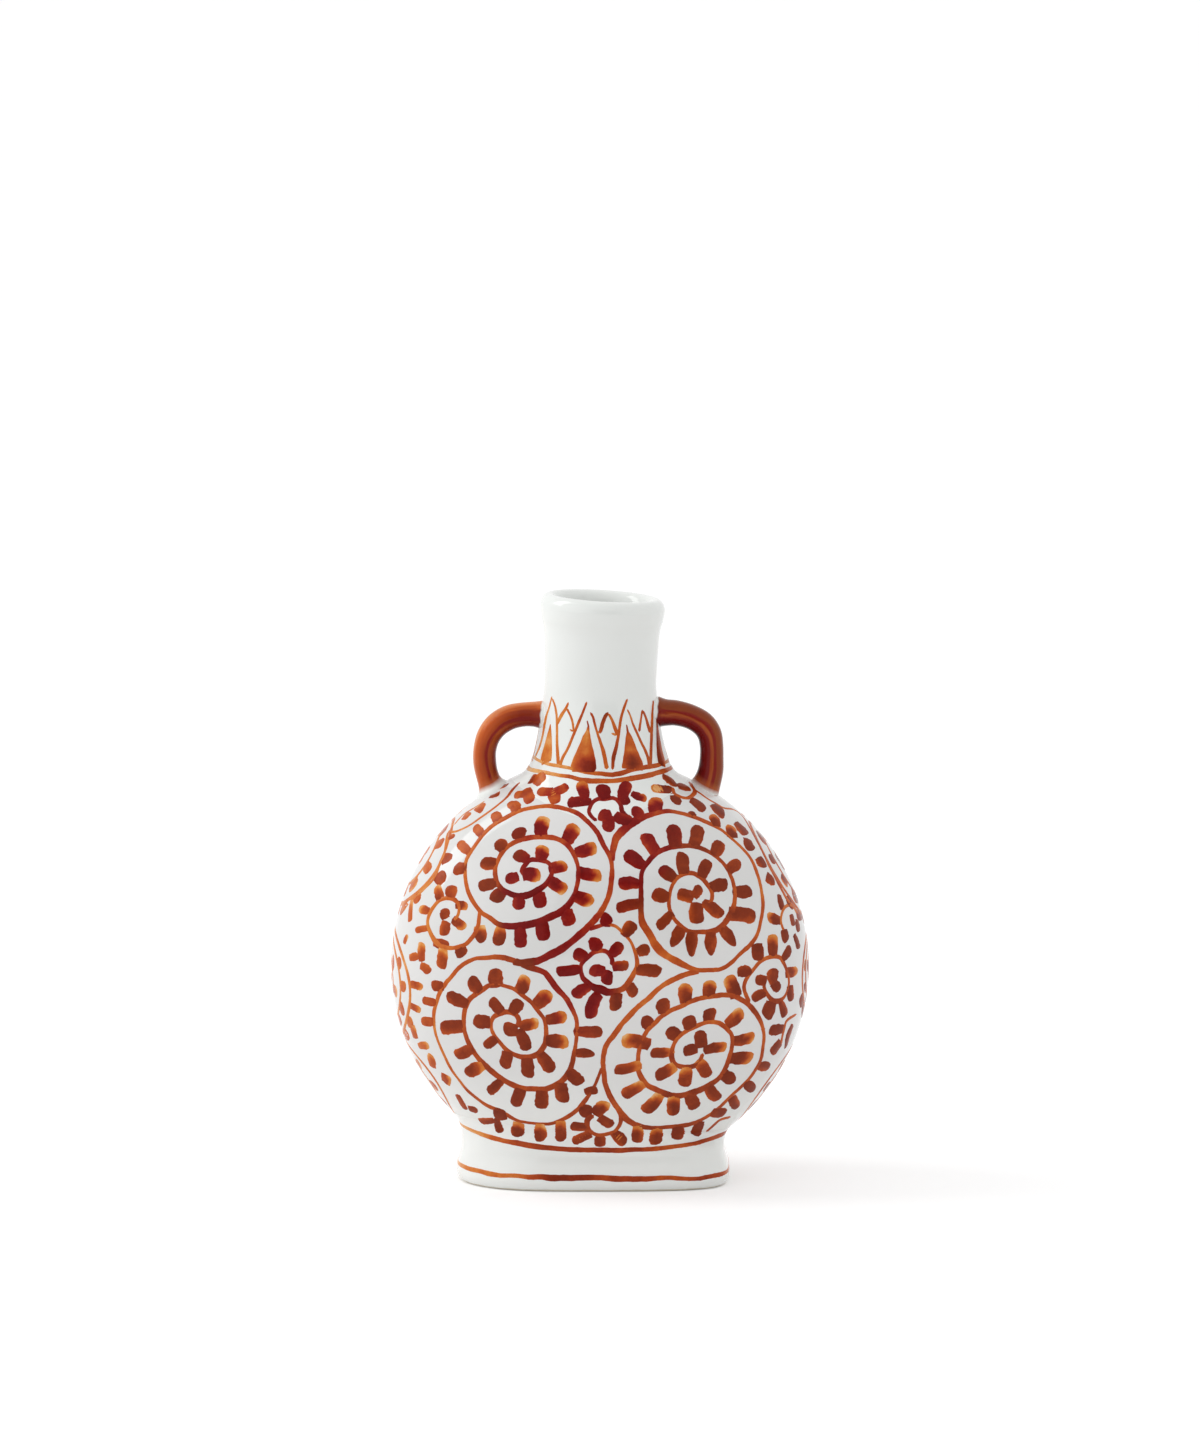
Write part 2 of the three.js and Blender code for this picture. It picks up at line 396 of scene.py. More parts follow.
def makePorcelain(name, white, pool):
    look = glazeLook
    material, tree, shader = newMaterial(name)
    place = tree.nodes.new("ShaderNodeTexCoord").outputs["Object"]
    height = splitVector(tree, place)["Z"]
    colour = glazeColour(tree, place, height, white, pool)
    # bare rim under the foot
    ragged = reckon(tree, "MULTIPLY", noise(tree, place, look["raggedScale"]), look["bareRagged"])
    raised = reckon(tree, "SUBTRACT", height, ragged)
    bare = spread(tree, raised, look["bareHeight"] - look["bareEdge"], look["bareHeight"], 1.0, 0.0)
    grains = noise(tree, place, look["grainScale"], fineDetail)
    clay = blendColours(tree, grains, screenColour(*look["bisque"]), screenColour(*look["bisqueGrain"]))
    tree.links.new(blendColours(tree, bare, colour, clay), shader.inputs["Base Color"])
    gloss = spread(tree, noise(tree, place, look["roughScale"]), *noiseMiddle, *look["roughness"])
    rough = reckon(tree, "ADD", gloss, reckon(tree, "MULTIPLY", bare, look["bareRough"]))
    tree.links.new(rough, shader.inputs["Roughness"])
    # waves in the glaze, and grit on the bare rim
    ripple = reckon(tree, "MULTIPLY", noise(tree, place, look["rippleScale"]), look["rippleShare"])
    wave = reckon(tree, "ADD", noise(tree, place, look["waveScale"], plainDetail), ripple)
    grit = reckon(tree, "MULTIPLY", reckon(tree, "MULTIPLY", grains, bare), look["gritShare"])
    bumpFrom(tree, shader, reckon(tree, "ADD", wave, grit), look["waveHeight"], look["waveStrength"])
    shader.inputs["IOR"].default_value = look["refraction"]
    return material


def makeEnamel():
    # iron red, from a thin orange wash to a thick brown or crimson
    look = enamelLook
    material, tree, shader = newMaterial("ironRedEnamel")
    place = tree.nodes.new("ShaderNodeTexCoord").outputs["Object"]
    cloud = sway(tree, noise(tree, place, look["cloudScale"], fineDetail), look["cloudShare"])
    grain = sway(tree, noise(tree, place, look["grainScale"]), look["grainShare"])
    load = readAttribute(tree, "pigment")["Fac"]
    amount = reckon(tree, "ADD", load, reckon(tree, "ADD", cloud, grain))
    brown = colourRamp(tree, amount, look["brown"])
    crimson = colourRamp(tree, amount, look["crimson"])
    colour = blendColours(tree, readAttribute(tree, "crimson")["Fac"], brown, crimson)
    tree.links.new(colour, shader.inputs["Base Color"])
    rough = spread(tree, noise(tree, place, look["roughScale"]), *noiseMiddle, *look["roughness"])
    tree.links.new(rough, shader.inputs["Roughness"])
    marks = noise(tree, place, look["brushScale"], fineDetail)
    bumpFrom(tree, shader, marks, look["brushHeight"], look["brushStrength"])
    shader.inputs["Specular IOR Level"].default_value = look["gloss"]
    return material


def makeHandleEnamel(side):
    # brushed along the loop, so bands and streaks follow its length; "lay" is the loop laid out straight
    look = handleLook
    material, tree, shader = newMaterial(side + "BrushedEnamel")
    lay = readAttribute(tree, "lay")["Vector"]
    along = splitVector(tree, lay)
    mapping = addNode(tree, "ShaderNodeMapping", Scale=look["stretch"])
    tree.links.new(lay, mapping.inputs["Vector"])
    drawn = mapping.outputs["Vector"]
    streak = noise(tree, drawn, look["streakScale"], fineDetail, look["streakRough"])
    streak = sway(tree, streak, look["streak"])
    half = look["halfThick"]
    # across the loop the ramp paints highlight on the outer edge and shade on the inner
    band = reckon(tree, "ADD", spread(tree, along["Z"], half, -half, 0.0, 1.0), streak)
    paint = colourRamp(tree, band, look[side])
    # the paint gives out raggedly at both ends, and runs orange before it does
    ragged = noise(tree, drawn, look["raggedScale"], plainDetail)
    ragged = reckon(tree, "MULTIPLY", ragged, look["ragged"])
    start, end = look["paintStart"][side], look["paintEnd"][side]
    begun = reckon(tree, "SUBTRACT", along["X"], ragged)
    begun = spread(tree, begun, start - look["startFade"], start, 0.0, 1.0)
    rest = reckon(tree, "SUBTRACT", readAttribute(tree, "rest")["Fac"], ragged)
    thin = spread(tree, rest, end, end + look["thinReach"], look["thinMost"], 0.0)
    paint = blendColours(tree, thin, paint, screenColour(*look["thin"]))
    # it lies thicker in patches, and near the neck
    uneven = spread(tree, noise(tree, lay, look["patchScale"]), *look["patchRange"], 0.0, look["patchMost"])
    nearNeck = spread(tree, along["X"], *look["thickReach"][side], look["thickMost"], 0.0)
    inward = spread(tree, band, *look["thickInside"], 0.0, 1.0)
    thick = reckon(tree, "MAXIMUM", uneven, reckon(tree, "MULTIPLY", nearNeck, inward))
    paint = blendColours(tree, thick, paint, screenColour(*look["deep"]))
    none, full = look["endFade"]
    lasting = spread(tree, rest, end - none, end - full, 0.0, 1.0)
    covered = reckon(tree, "MULTIPLY", begun, lasting)
    colour = blendColours(tree, covered, screenColour(*glazeLook["white"]), paint)
    tree.links.new(colour, shader.inputs["Base Color"])
    rough = spread(tree, streak, -look["streak"], look["streak"], *look["roughness"])
    tree.links.new(rough, shader.inputs["Roughness"])
    bumpFrom(tree, shader, streak, look["streakHeight"], look["streakStrength"])
    shader.inputs["Specular IOR Level"].default_value = look["gloss"]
    return material


porcelain = makePorcelain("whiteGlaze", "white", "pool")
# the dishes get a darker copy of the same glaze: painted shade on the body
shadedBodyPorcelain = makePorcelain("shadedBodyGlaze", "shadedBodyWhite", "shadedBodyPool")
enamel = makeEnamel()
print("glaze and enamel mixed")

# body

bodyShape = {
    "radius": 41.73 * mm,  # the enamel lies on top of this
    "halfDepth": 25.43 * mm,
    "power": 2.2,
    "centre": 42.644 * mm,
    "bottom": 10.4 * mm,
    "wall": 3.2 * mm,
    "bore": 8.6 * mm,
    "boreDepth": 24 * mm,
    "boreSides": 96,
    "drawIn": 0.03,  # the lower half is a little narrower than the upper
    "rings": 64,
    "spinSteps": 224,
    "searchReach": (0.5, 2.0),
    "halvings": 40,
    "sharpFrom": 35,  # degrees from which an edge stays sharp
}


def discRadius(depth):
    # radius of the body's round section at a distance from its middle plane
    share = min(1.0, abs(depth) / bodyShape["halfDepth"])
    return bodyShape["radius"] * (1 - share ** bodyShape["power"]) ** (1 / bodyShape["power"])


def narrowing(height):
    below = max(0.0, (bodyShape["centre"] - height) / bodyShape["radius"])
    return 1 - bodyShape["drawIn"] * below ** 2


def shoulderHeight(x, y):
    return bodyShape["centre"] + math.sqrt(max(0.0, discRadius(y) ** 2 - x * x))


def makeDish(name, side):
    middle = bodyShape["centre"]
    bend = 2 / bodyShape["power"]
    profile = []
    for i in range(bodyShape["rings"] + 1):
        turn = math.pi / 2 * i / bodyShape["rings"]
        profile.append((bodyShape["radius"] * math.sin(turn) ** bend,
                        side * bodyShape["halfDepth"] * max(0.0, math.cos(turn)) ** bend, middle))
    profile[-1] = (bodyShape["radius"], 0.0, middle)
    dish = drawProfile(name, profile)
    spinProfile(dish, bodyShape["spinSteps"], (0, 0, middle), (0, 1, 0))
    outward = sum((f.normal.y for f in dish.data.polygons)) * side
    pick(dish)
    bpy.ops.object.mode_set(mode="EDIT")
    bpy.ops.mesh.select_all(action="SELECT")
    if outward < 0:
        bpy.ops.mesh.flip_normals()
    # press the underside flat on the foot
    floor = bodyShape["bottom"]
    bpy.ops.mesh.bisect(plane_co=(0, 0, floor), plane_no=(0, 0, 1))
    bpy.ops.object.mode_set(mode="OBJECT")
    for part in (dish.data.vertices, dish.data.edges, dish.data.polygons):
        for item in part:
            item.select = False
    for vertex in dish.data.vertices:
        vertex.select = vertex.co.z < floor
    bpy.ops.object.mode_set(mode="EDIT")
    bpy.ops.transform.resize(value=(1, 1, 0), center_override=(0, 0, floor))
    bpy.ops.object.mode_set(mode="OBJECT")
    applyModifier(dish, "SOLIDIFY", thickness=bodyShape["wall"], offset=-1.0)
    for vertex in dish.data.vertices:
        vertex.co.x *= narrowing(vertex.co.z)
    # the way from the neck into the body
    clearSelection()
    bpy.ops.mesh.primitive_cylinder_add(vertices=bodyShape["boreSides"], radius=bodyShape["bore"],
                                        depth=bodyShape["boreDepth"],
                                        location=(0, 0, middle + bodyShape["radius"]))
    drill = bpy.context.object
    applyModifier(dish, "BOOLEAN", operation="DIFFERENCE", object=drill, solver="EXACT")
    bpy.data.objects.remove(drill)
    coat(dish, shadedBodyPorcelain, bodyShape["sharpFrom"])
    return dish


frontDish = makeDish("frontDish", -1)
backDish = makeDish("backDish", 1)
print("dishes spun:", len(frontDish.data.polygons), "faces each")

# neck

neckShape = {
    "base": 17.6 * mm,
    "top": 11.2 * mm,
    "flare": 15.6 * mm,
    "flarePower": 4,
    "flareRings": 18,
    "seat": [(8.6, -3.1), (13.0, -1.6), (17.66, -0.2)],  # radius and depth of its foot in the shoulder
    "lift": 0.03 * mm,
    # radius and height up the wall and the underside of the lip
    "wall": [(11.15, 100.4), (11.25, 103.3), (11.34, 106.3), (11.42, 108.6), (11.56, 110.1),
             (11.8, 111.4), (12.12, 112.7)],
    "wallStep": 0.4 * mm,
    "settle": 109 * mm,  # up to here the rings follow the shoulder less and less
    "lip": 12.4 * mm,
    "lipHeight": 114.7 * mm,
    "lipRings": 12,
    "crest": 10.6 * mm,
    "crestHeight": 117.15 * mm,
    "mouthRound": 3.6 * mm,
    "mouthRings": 10,
    "bore": 8.6 * mm,
    "boreFoot": 100 * mm,
    "lean": 0.55 * mm,  # the mouth stands a little right of the body
    "leanFrom": 97 * mm,
    "slant": 1.5 * mm,  # the lip is lower on the right
    "slantFrom": 104 * mm,
    "slantPower": 1.5,
    "spinSteps": 160,
    "sharpFrom": 40,
}


def neckProfile():
    # (radius, height, share of the height that rides on the shoulder)
    shape = neckShape
    rings = [(radius * mm, rise * mm) for radius, rise in shape["seat"]]
    for i in range(shape["flareRings"] + 1):
        t = i / shape["flareRings"]
        radius = shape["base"] + (shape["top"] - shape["base"]) * t
        rings.append((radius, shape["lift"] + shape["flare"] * t ** shape["flarePower"]))
    rings = [(radius, shoulderHeight(radius, 0) + rise, 1.0) for radius, rise in rings]
    flareTop = rings[-1][1]
    wall = [(shape["top"], flareTop)] + [(radius * mm, height * mm) for radius, height in shape["wall"]]
    wall.append((shape["lip"], shape["lipHeight"]))
    for radius, height in curveThrough(wall, shape["wallStep"])[1:]:
        rings.append((radius, height, max(0.0, (shape["settle"] - height) / (shape["settle"] - flareTop))))
    # the lip rolls over its crest into the bore
    rise = shape["crestHeight"] - shape["lipHeight"]
    for i in range(1, shape["lipRings"] + 1):
        turn = math.pi / 2 * i / shape["lipRings"]
        rings.append((shape["crest"] + (shape["lip"] - shape["crest"]) * math.cos(turn),
                      shape["lipHeight"] + rise * math.sin(turn), 0.0))
    inside = shape["crest"] - shape["bore"]
    for i in range(1, shape["mouthRings"] + 1):
        turn = math.pi / 2 * i / shape["mouthRings"]
        rings.append((shape["crest"] - inside * math.sin(turn),
                      shape["crestHeight"] - shape["mouthRound"] * (1 - math.cos(turn)), 0.0))
    rings.append((shape["bore"], shape["boreFoot"], 0.0))
    return rings


def shareBetween(value, low, high):
    return min(1.0, max(0.0, (value - low) / (high - low)))


def makeNeck():
    shape = neckShape
    rings = neckProfile()
    outline = [(radius, 0, height) for radius, height, ride in rings]
    neck = drawProfile("neckTube", outline + outline[:1])
    spinProfile(neck, shape["spinSteps"], (0, 0, 0), (0, 0, 1))
    for vertex in neck.data.vertices:
        x, y, z = vertex.co
        radius = math.hypot(x, y)
        ride = min(rings, key=lambda ring: abs(ring[0] - radius) + abs(ring[1] - z))[2]
        drop = shoulderHeight(x, y) - shoulderHeight(radius, 0)
        slant = shareBetween(z, shape["slantFrom"], shape["crestHeight"]) ** shape["slantPower"]
        vertex.co.z = z + drop * ride - shape["slant"] / 2 * x / shape["lip"] * slant
        vertex.co.x += shape["lean"] * shareBetween(z, shape["leanFrom"], shape["lipHeight"])
    coat(neck, porcelain, shape["sharpFrom"])
    return neck


neck = makeNeck()
print("neck spun:", len(neck.data.polygons), "faces")

# foot

footShape = {
    "offset": -1.4 * mm,
    "powers": (2.4, 4.2),  # the oval is squarer on the right
    "waist": (26.3 * mm, 17.3 * mm, 7.2 * mm),  # half width, half depth, height
    "base": (27.3 * mm, 18.8 * mm, 1.9 * mm),
    "wallRings": 12,
    "edge": 1.4 * mm,
    "edgeRings": 10,
    "rim": 3.6 * mm,
    # how far inside the rim's inner edge and how high the recess goes
    "recess": [(0.0, 0.0), (0.5, 0.5), (0.8, 3.0), (1.4, 11.2)],
    "skirtTops": (13.8 * mm, 10.8 * mm),  # where it runs out on the body, left and right
    "skirtRings": 14,
    "tuck": 0.012,  # its upper edge dips into the body by this share
    "lift": 0.03 * mm,
    "spinSteps": 192,
    "tube": 30.0,  # the plain tube that is shaped ring by ring
    "taper": 0.1,
    "probe": 0.2 * mm,
    "sharpFrom": 40,
}


def ease(value):
    value = min(1.0, max(0.0, value))
    return value * value * (3 - 2 * value)


def footRings():
    # (half width, half depth, height), from the skirt round the base to the recess
    waistX, waistY, waistZ = footShape["waist"]
    baseX, baseY, baseZ = footShape["base"]
    rings = []
    for i in range(1, footShape["wallRings"] + 1):
        t = i / footShape["wallRings"]
        rings.append((waistX + (baseX - waistX) * ease(t), waistY + (baseY - waistY) * ease(t),
                      waistZ + (baseZ - waistZ) * t))
    for i in range(1, footShape["edgeRings"] + 1):
        turn = math.pi / 2 * i / footShape["edgeRings"]
        inset = footShape["edge"] * (1 - math.cos(turn))
        rings.append((baseX - inset, baseY - inset, baseZ * (1 - math.sin(turn))))
    for further, height in footShape["recess"]:
        inset = footShape["rim"] + further * mm
        rings.append((baseX - inset, baseY - inset, height * mm))
    return rings


def ovalPoint(halfWidth, halfDepth, angle):
    c, s = math.cos(angle), math.sin(angle)
    leftPower, rightPower = footShape["powers"]
    bend = 2 / (leftPower + (rightPower - leftPower) * (1 + c) / 2)
    x, y = halfWidth * abs(c) ** bend, halfDepth * abs(s) ** bend
    return footShape["offset"] + math.copysign(x, c), math.copysign(y, s)


def reachBody(x, y, height):
    # how far out along a direction the body lies at a height
    rise = abs(height - bodyShape["centre"])
    x /= narrowing(height)
    low, high = bodyShape["searchReach"]
    for _ in range(bodyShape["halvings"]):
        middle = (low + high) / 2
        if discRadius(y * middle) ** 2 - rise * rise > (x * middle) ** 2:
            low = middle
        else:
            high = middle
    return low


def makeFoot():
    rings = footRings()
    waistX, waistY, waistZ = footShape["waist"]
    skirt = footShape["skirtRings"]
    leftTop, rightTop = footShape["skirtTops"]
    count = skirt + 2 + len(rings)
    start = [((footShape["tube"] - footShape["taper"] * i) * mm, 0, i * mm) for i in range(count)]
    foot = drawProfile("foot", start + [start[0]])
    spinProfile(foot, footShape["spinSteps"], (0, 0, 0), (0, 0, 1))
    probe = footShape["probe"]
    for vertex in foot.data.vertices:
        index = round(vertex.co.z / mm)
        angle = math.atan2(vertex.co.y, vertex.co.x)
        if index <= skirt + 1:
            # from the waist the skirt runs out level with the body's own slope
            x, y = ovalPoint(waistX, waistY, angle)
            top = leftTop + (rightTop - leftTop) * (1 + math.cos(angle)) / 2
            out = reachBody(x, y, top)
            slope = (reachBody(x, y, top + probe) - out) / probe * (top - waistZ)
            t = 1 - max(0, index - 1) / skirt
            grow = 1 + (out - 1) * ease(t) + slope * t * t * (t - 1) + footShape["lift"] / waistX * t
            if index == 0:
                grow = out - footShape["tuck"]
            vertex.co = (x * grow, y * grow, waistZ + (top - waistZ) * t)
        else:
            halfWidth, halfDepth, height = rings[index - skirt - 2]
            vertex.co = (*ovalPoint(halfWidth, halfDepth, angle), height)
    faceOutward(foot)
    coat(foot, porcelain, footShape["sharpFrom"])
    return foot


foot = makeFoot()
print("foot shaped:", len(foot.data.polygons), "faces")

# handles

handleShape = {
    # across, height and half thickness along each loop, from the neck to the shoulder
    "left": [(-10.6, 93.2, 2.3), (-13.0, 93.4, 2.35), (-15.6, 93.3, 2.4), (-18.2, 92.7, 2.5),
             (-20.6, 91.2, 2.5), (-22.2, 89.0, 2.4), (-22.95, 86.4, 2.3), (-23.0, 83.8, 2.3),
             (-22.6, 81.4, 2.2), (-22.0, 79.5, 2.1), (-20.9, 77.2, 2.1)],
    "right": [(10.6, 93.9, 2.55), (13.0, 93.75, 2.5), (15.2, 93.65, 2.5), (18.0, 92.9, 2.45),
              (20.4, 91.5, 2.5), (21.8, 89.5, 2.45), (22.25, 87.1, 2.35), (22.3, 84.8, 2.35),
              (22.2, 82.4, 2.45), (21.8, 80.2, 2.45), (21.0, 77.0, 2.4)],
    "deepShare": 1.3,  # the section is deeper than it is thick
    "step": 0.7,
    "neckFlare": 0.22,
    "neckFrom": 1.2,
    "neckReach": 1.2,
    "rootFlare": {"left": 0.7, "right": 0.06},  # clay smeared onto the shoulder
    "rootReach": 1.1 * mm,
    "web": {"left": 0.0, "right": 1.1},  # and into the inner corner
    "webReach": 1.7 * mm,
    "sides": 36,
    "sharpFrom": 60,
}


def makeHandle(name, side):
    shape = handleShape
    path = curveThrough(shape[side], shape["step"])
    steps = [0.0]
    for a, b in zip(path, path[1:]):
        steps.append(steps[-1] + math.dist(a[:2], b[:2]))
    clearSelection()
    bpy.ops.mesh.primitive_circle_add(vertices=shape["sides"], radius=mm, fill_type="NGON")
    handle = bpy.context.object
    handle.name = name
    handle.data.name = name
    bpy.ops.object.mode_set(mode="EDIT")
    for _ in path[1:]:
        bpy.ops.mesh.extrude_region_move(TRANSFORM_OT_translate={"value": (0, 0, mm)})
    bpy.ops.object.mode_set(mode="OBJECT")
    # bend the stretched rod along the loop
    handle.data.attributes.new("lay", "FLOAT_VECTOR", "POINT")
    handle.data.attributes.new("rest", "FLOAT", "POINT")
    lay, rest = handle.data.attributes["lay"], handle.data.attributes["rest"]
    outSide = -1 if side == "left" else 1
    for vertex in handle.data.vertices:
        index = min(len(path) - 1, max(0, round(vertex.co.z / mm)))
        ahead, behind = path[min(index + 1, len(path) - 1)], path[max(index - 1, 0)]
        run = Vector((ahead[0] - behind[0], 0, ahead[1] - behind[1])).normalized()
        outward = Vector((-run.z, 0, run.x)) * outSide
        fromNeck = max(0, steps[index] - shape["neckFrom"])
        x, z, half = path[index]
        half *= 1 + shape["neckFlare"] * math.exp(-fromNeck / shape["neckReach"])
        across = vertex.co.x * half
        deep = Vector((0, vertex.co.y * half * shape["deepShare"], 0))
        middle = Vector((x, 0, z)) * mm
        plain = middle + outward * across + deep
        gap = plain.z - shoulderHeight(plain.x, plain.y)
        lay.data[vertex.index].vector = (steps[index] * mm, deep.y, across)
        rest.data[vertex.index].value = gap
        gap = max(0, gap)
        root = 1 + shape["rootFlare"][side] * math.exp(-gap / shape["rootReach"])
        web = shape["web"][side] * math.exp(-gap / shape["webReach"])
        vertex.co = middle + outward * (across * root + min(0, vertex.co.x) * web) + deep * root
    faceOutward(handle)
    coat(handle, makeHandleEnamel(side), shape["sharpFrom"])
    return handle


leftHandle = makeHandle("leftHandle", "left")
rightHandle = makeHandle("rightHandle", "right")
print("handles bent:", len(leftHandle.data.polygons), "faces each")

# brushwork

pixel = 0.2 * mm  # a pixel of the photograph, on the flask

brush = {
    "film": 0.04 * mm,  # thickness of the enamel
    "filmSpread": (0.7, 1.1),
    "sink": 0.03 * mm,  # a stroke's edge dips into the glaze
    "columns": ((-1.1, 0.0), (-0.82, 0.8), (0.0, 1.0), (0.82, 0.8), (1.1, 0.0)),  # offset, share of the film
    "wideColumns": ((-1.1, 0.0), (-0.92, 0.8), (-0.66, 0.9), (-0.33, 1.0), (0.0, 1.0),
                    (0.33, 1.0), (0.66, 0.9), (0.92, 0.8), (1.1, 0.0)),
    "search": 2 * mm,  # each corner looks down for the glaze from this far above
    "searchDepth": 5 * mm,
    "steepest": 0.3,  # and passes over a face that is turned further away
    "nudge": 0.01 * mm,
    "leastSeen": 0.5,
    "edgeThin": 0.3,  # the pigment thins at a stroke's edge
    "leftSheenPaling": 0.46,  # the share of pigment taken off on faces turned to the left flank, a painted highlight of the glare there
    "leftFrom": 0.36,
    "leftOver": 0.5,
    "lineStep": 3.0,
    "lineEdge": (0.93, 1.07),
    "widthDrift": 0.12,  # how far width and pigment wander along a line
    "loadDrift": 0.1,
    "driftStations": 4,
    # centre and reach of the reddest paint
    "crimsonPlaces": [(598, 835, 78, 76), (578, 945, 44, 85), (528, 905, 28, 52)],
    "crimsonEdge": 1.15,
    "crimsonFade": 0.3,
    "redSpread": 0.06,
    "bladeHeel": 0.4,  # a filled shape goes on this far below and above its rows
    "bladePoint": 0.5,
    "sharpFrom": 50,
    "seed": 7,
}

dabShape = {
    "width": 13.5,
    "wide": (0.98, 1.1),
    "stations": (0, 0.05, 0.16, 0.3, 0.45, 0.6, 0.72, 0.82, 0.9, 0.96, 1),
    "leastLength": 0.3,
    "leastHalf": 0.01,
    "bow": 0.06,
    "rootShare": (0.68, 0.92),  # it is narrower at its root
    "rootEnds": 0.5,
    "rootRound": 0.06,
    "blunt": (2.0, 2.8),
    "longestCap": 0.6,
    "pointFrom": 0.4,
    "pointShare": 0.55,
    "edge": (0.92, 1.08),
    "skew": 0.3,
    "dark": 0.86,
    "darkSpread": 0.08,
    "pale": (0.2, 0.34),
    "lean": 0.14,
    "fringe": 0.38,  # a dab is thinner on one side
    "tipFrom": 0.62,  # where a tip fades, and a root
    "tipBow": 0.2,
    "rootFrom": 0.4,
    "rootBow": 0.12,
    "fadeOver": 0.3,
    # pale even dabs where the lamp's glare lies: painted highlight
    "glareWash": 0.55,
    "glareWashSwing": 0.1,
    "glareWashBeat": 7,
}


def groundOf(*pieces):
    corners, faces = [], []
    for piece in pieces:
        start = len(corners)
        corners.extend(vertex.co.copy() for vertex in piece.data.vertices)
        faces.extend([start + i for i in face.vertices] for face in piece.data.polygons)
    return BVHTree.FromPolygons(corners, faces)


ground = groundOf(frontDish, backDish, neck, foot)


def landing(start, ray):
    # a ray along an edge can slip between two faces, so another goes just beside it
    for nudge in (0.0, brush["nudge"]):
        point, normal, face, distance = ground.ray_cast(start + Vector((nudge, nudge, 0)), ray)
        if point is not None:
            return point, (normal if normal.dot(ray) < 0 else -normal)
    return None


def onFront(across, down):
    # a pixel of the photograph, laid on the glaze
    return landing(*sightLine(across, down))


def onBack(across, down):
    start, ray = sightLine(across, down)
    half = Matrix.Rotation(math.pi, 3, "Z")
    return landing(half @ start, half @ ray)


def frontRed(across, down):
    near = min(math.hypot((across - x) / reachX, (down - y) / reachY)
               for x, y, reachX, reachY in brush["crimsonPlaces"])
    return ease((brush["crimsonEdge"] - near) / brush["crimsonFade"])


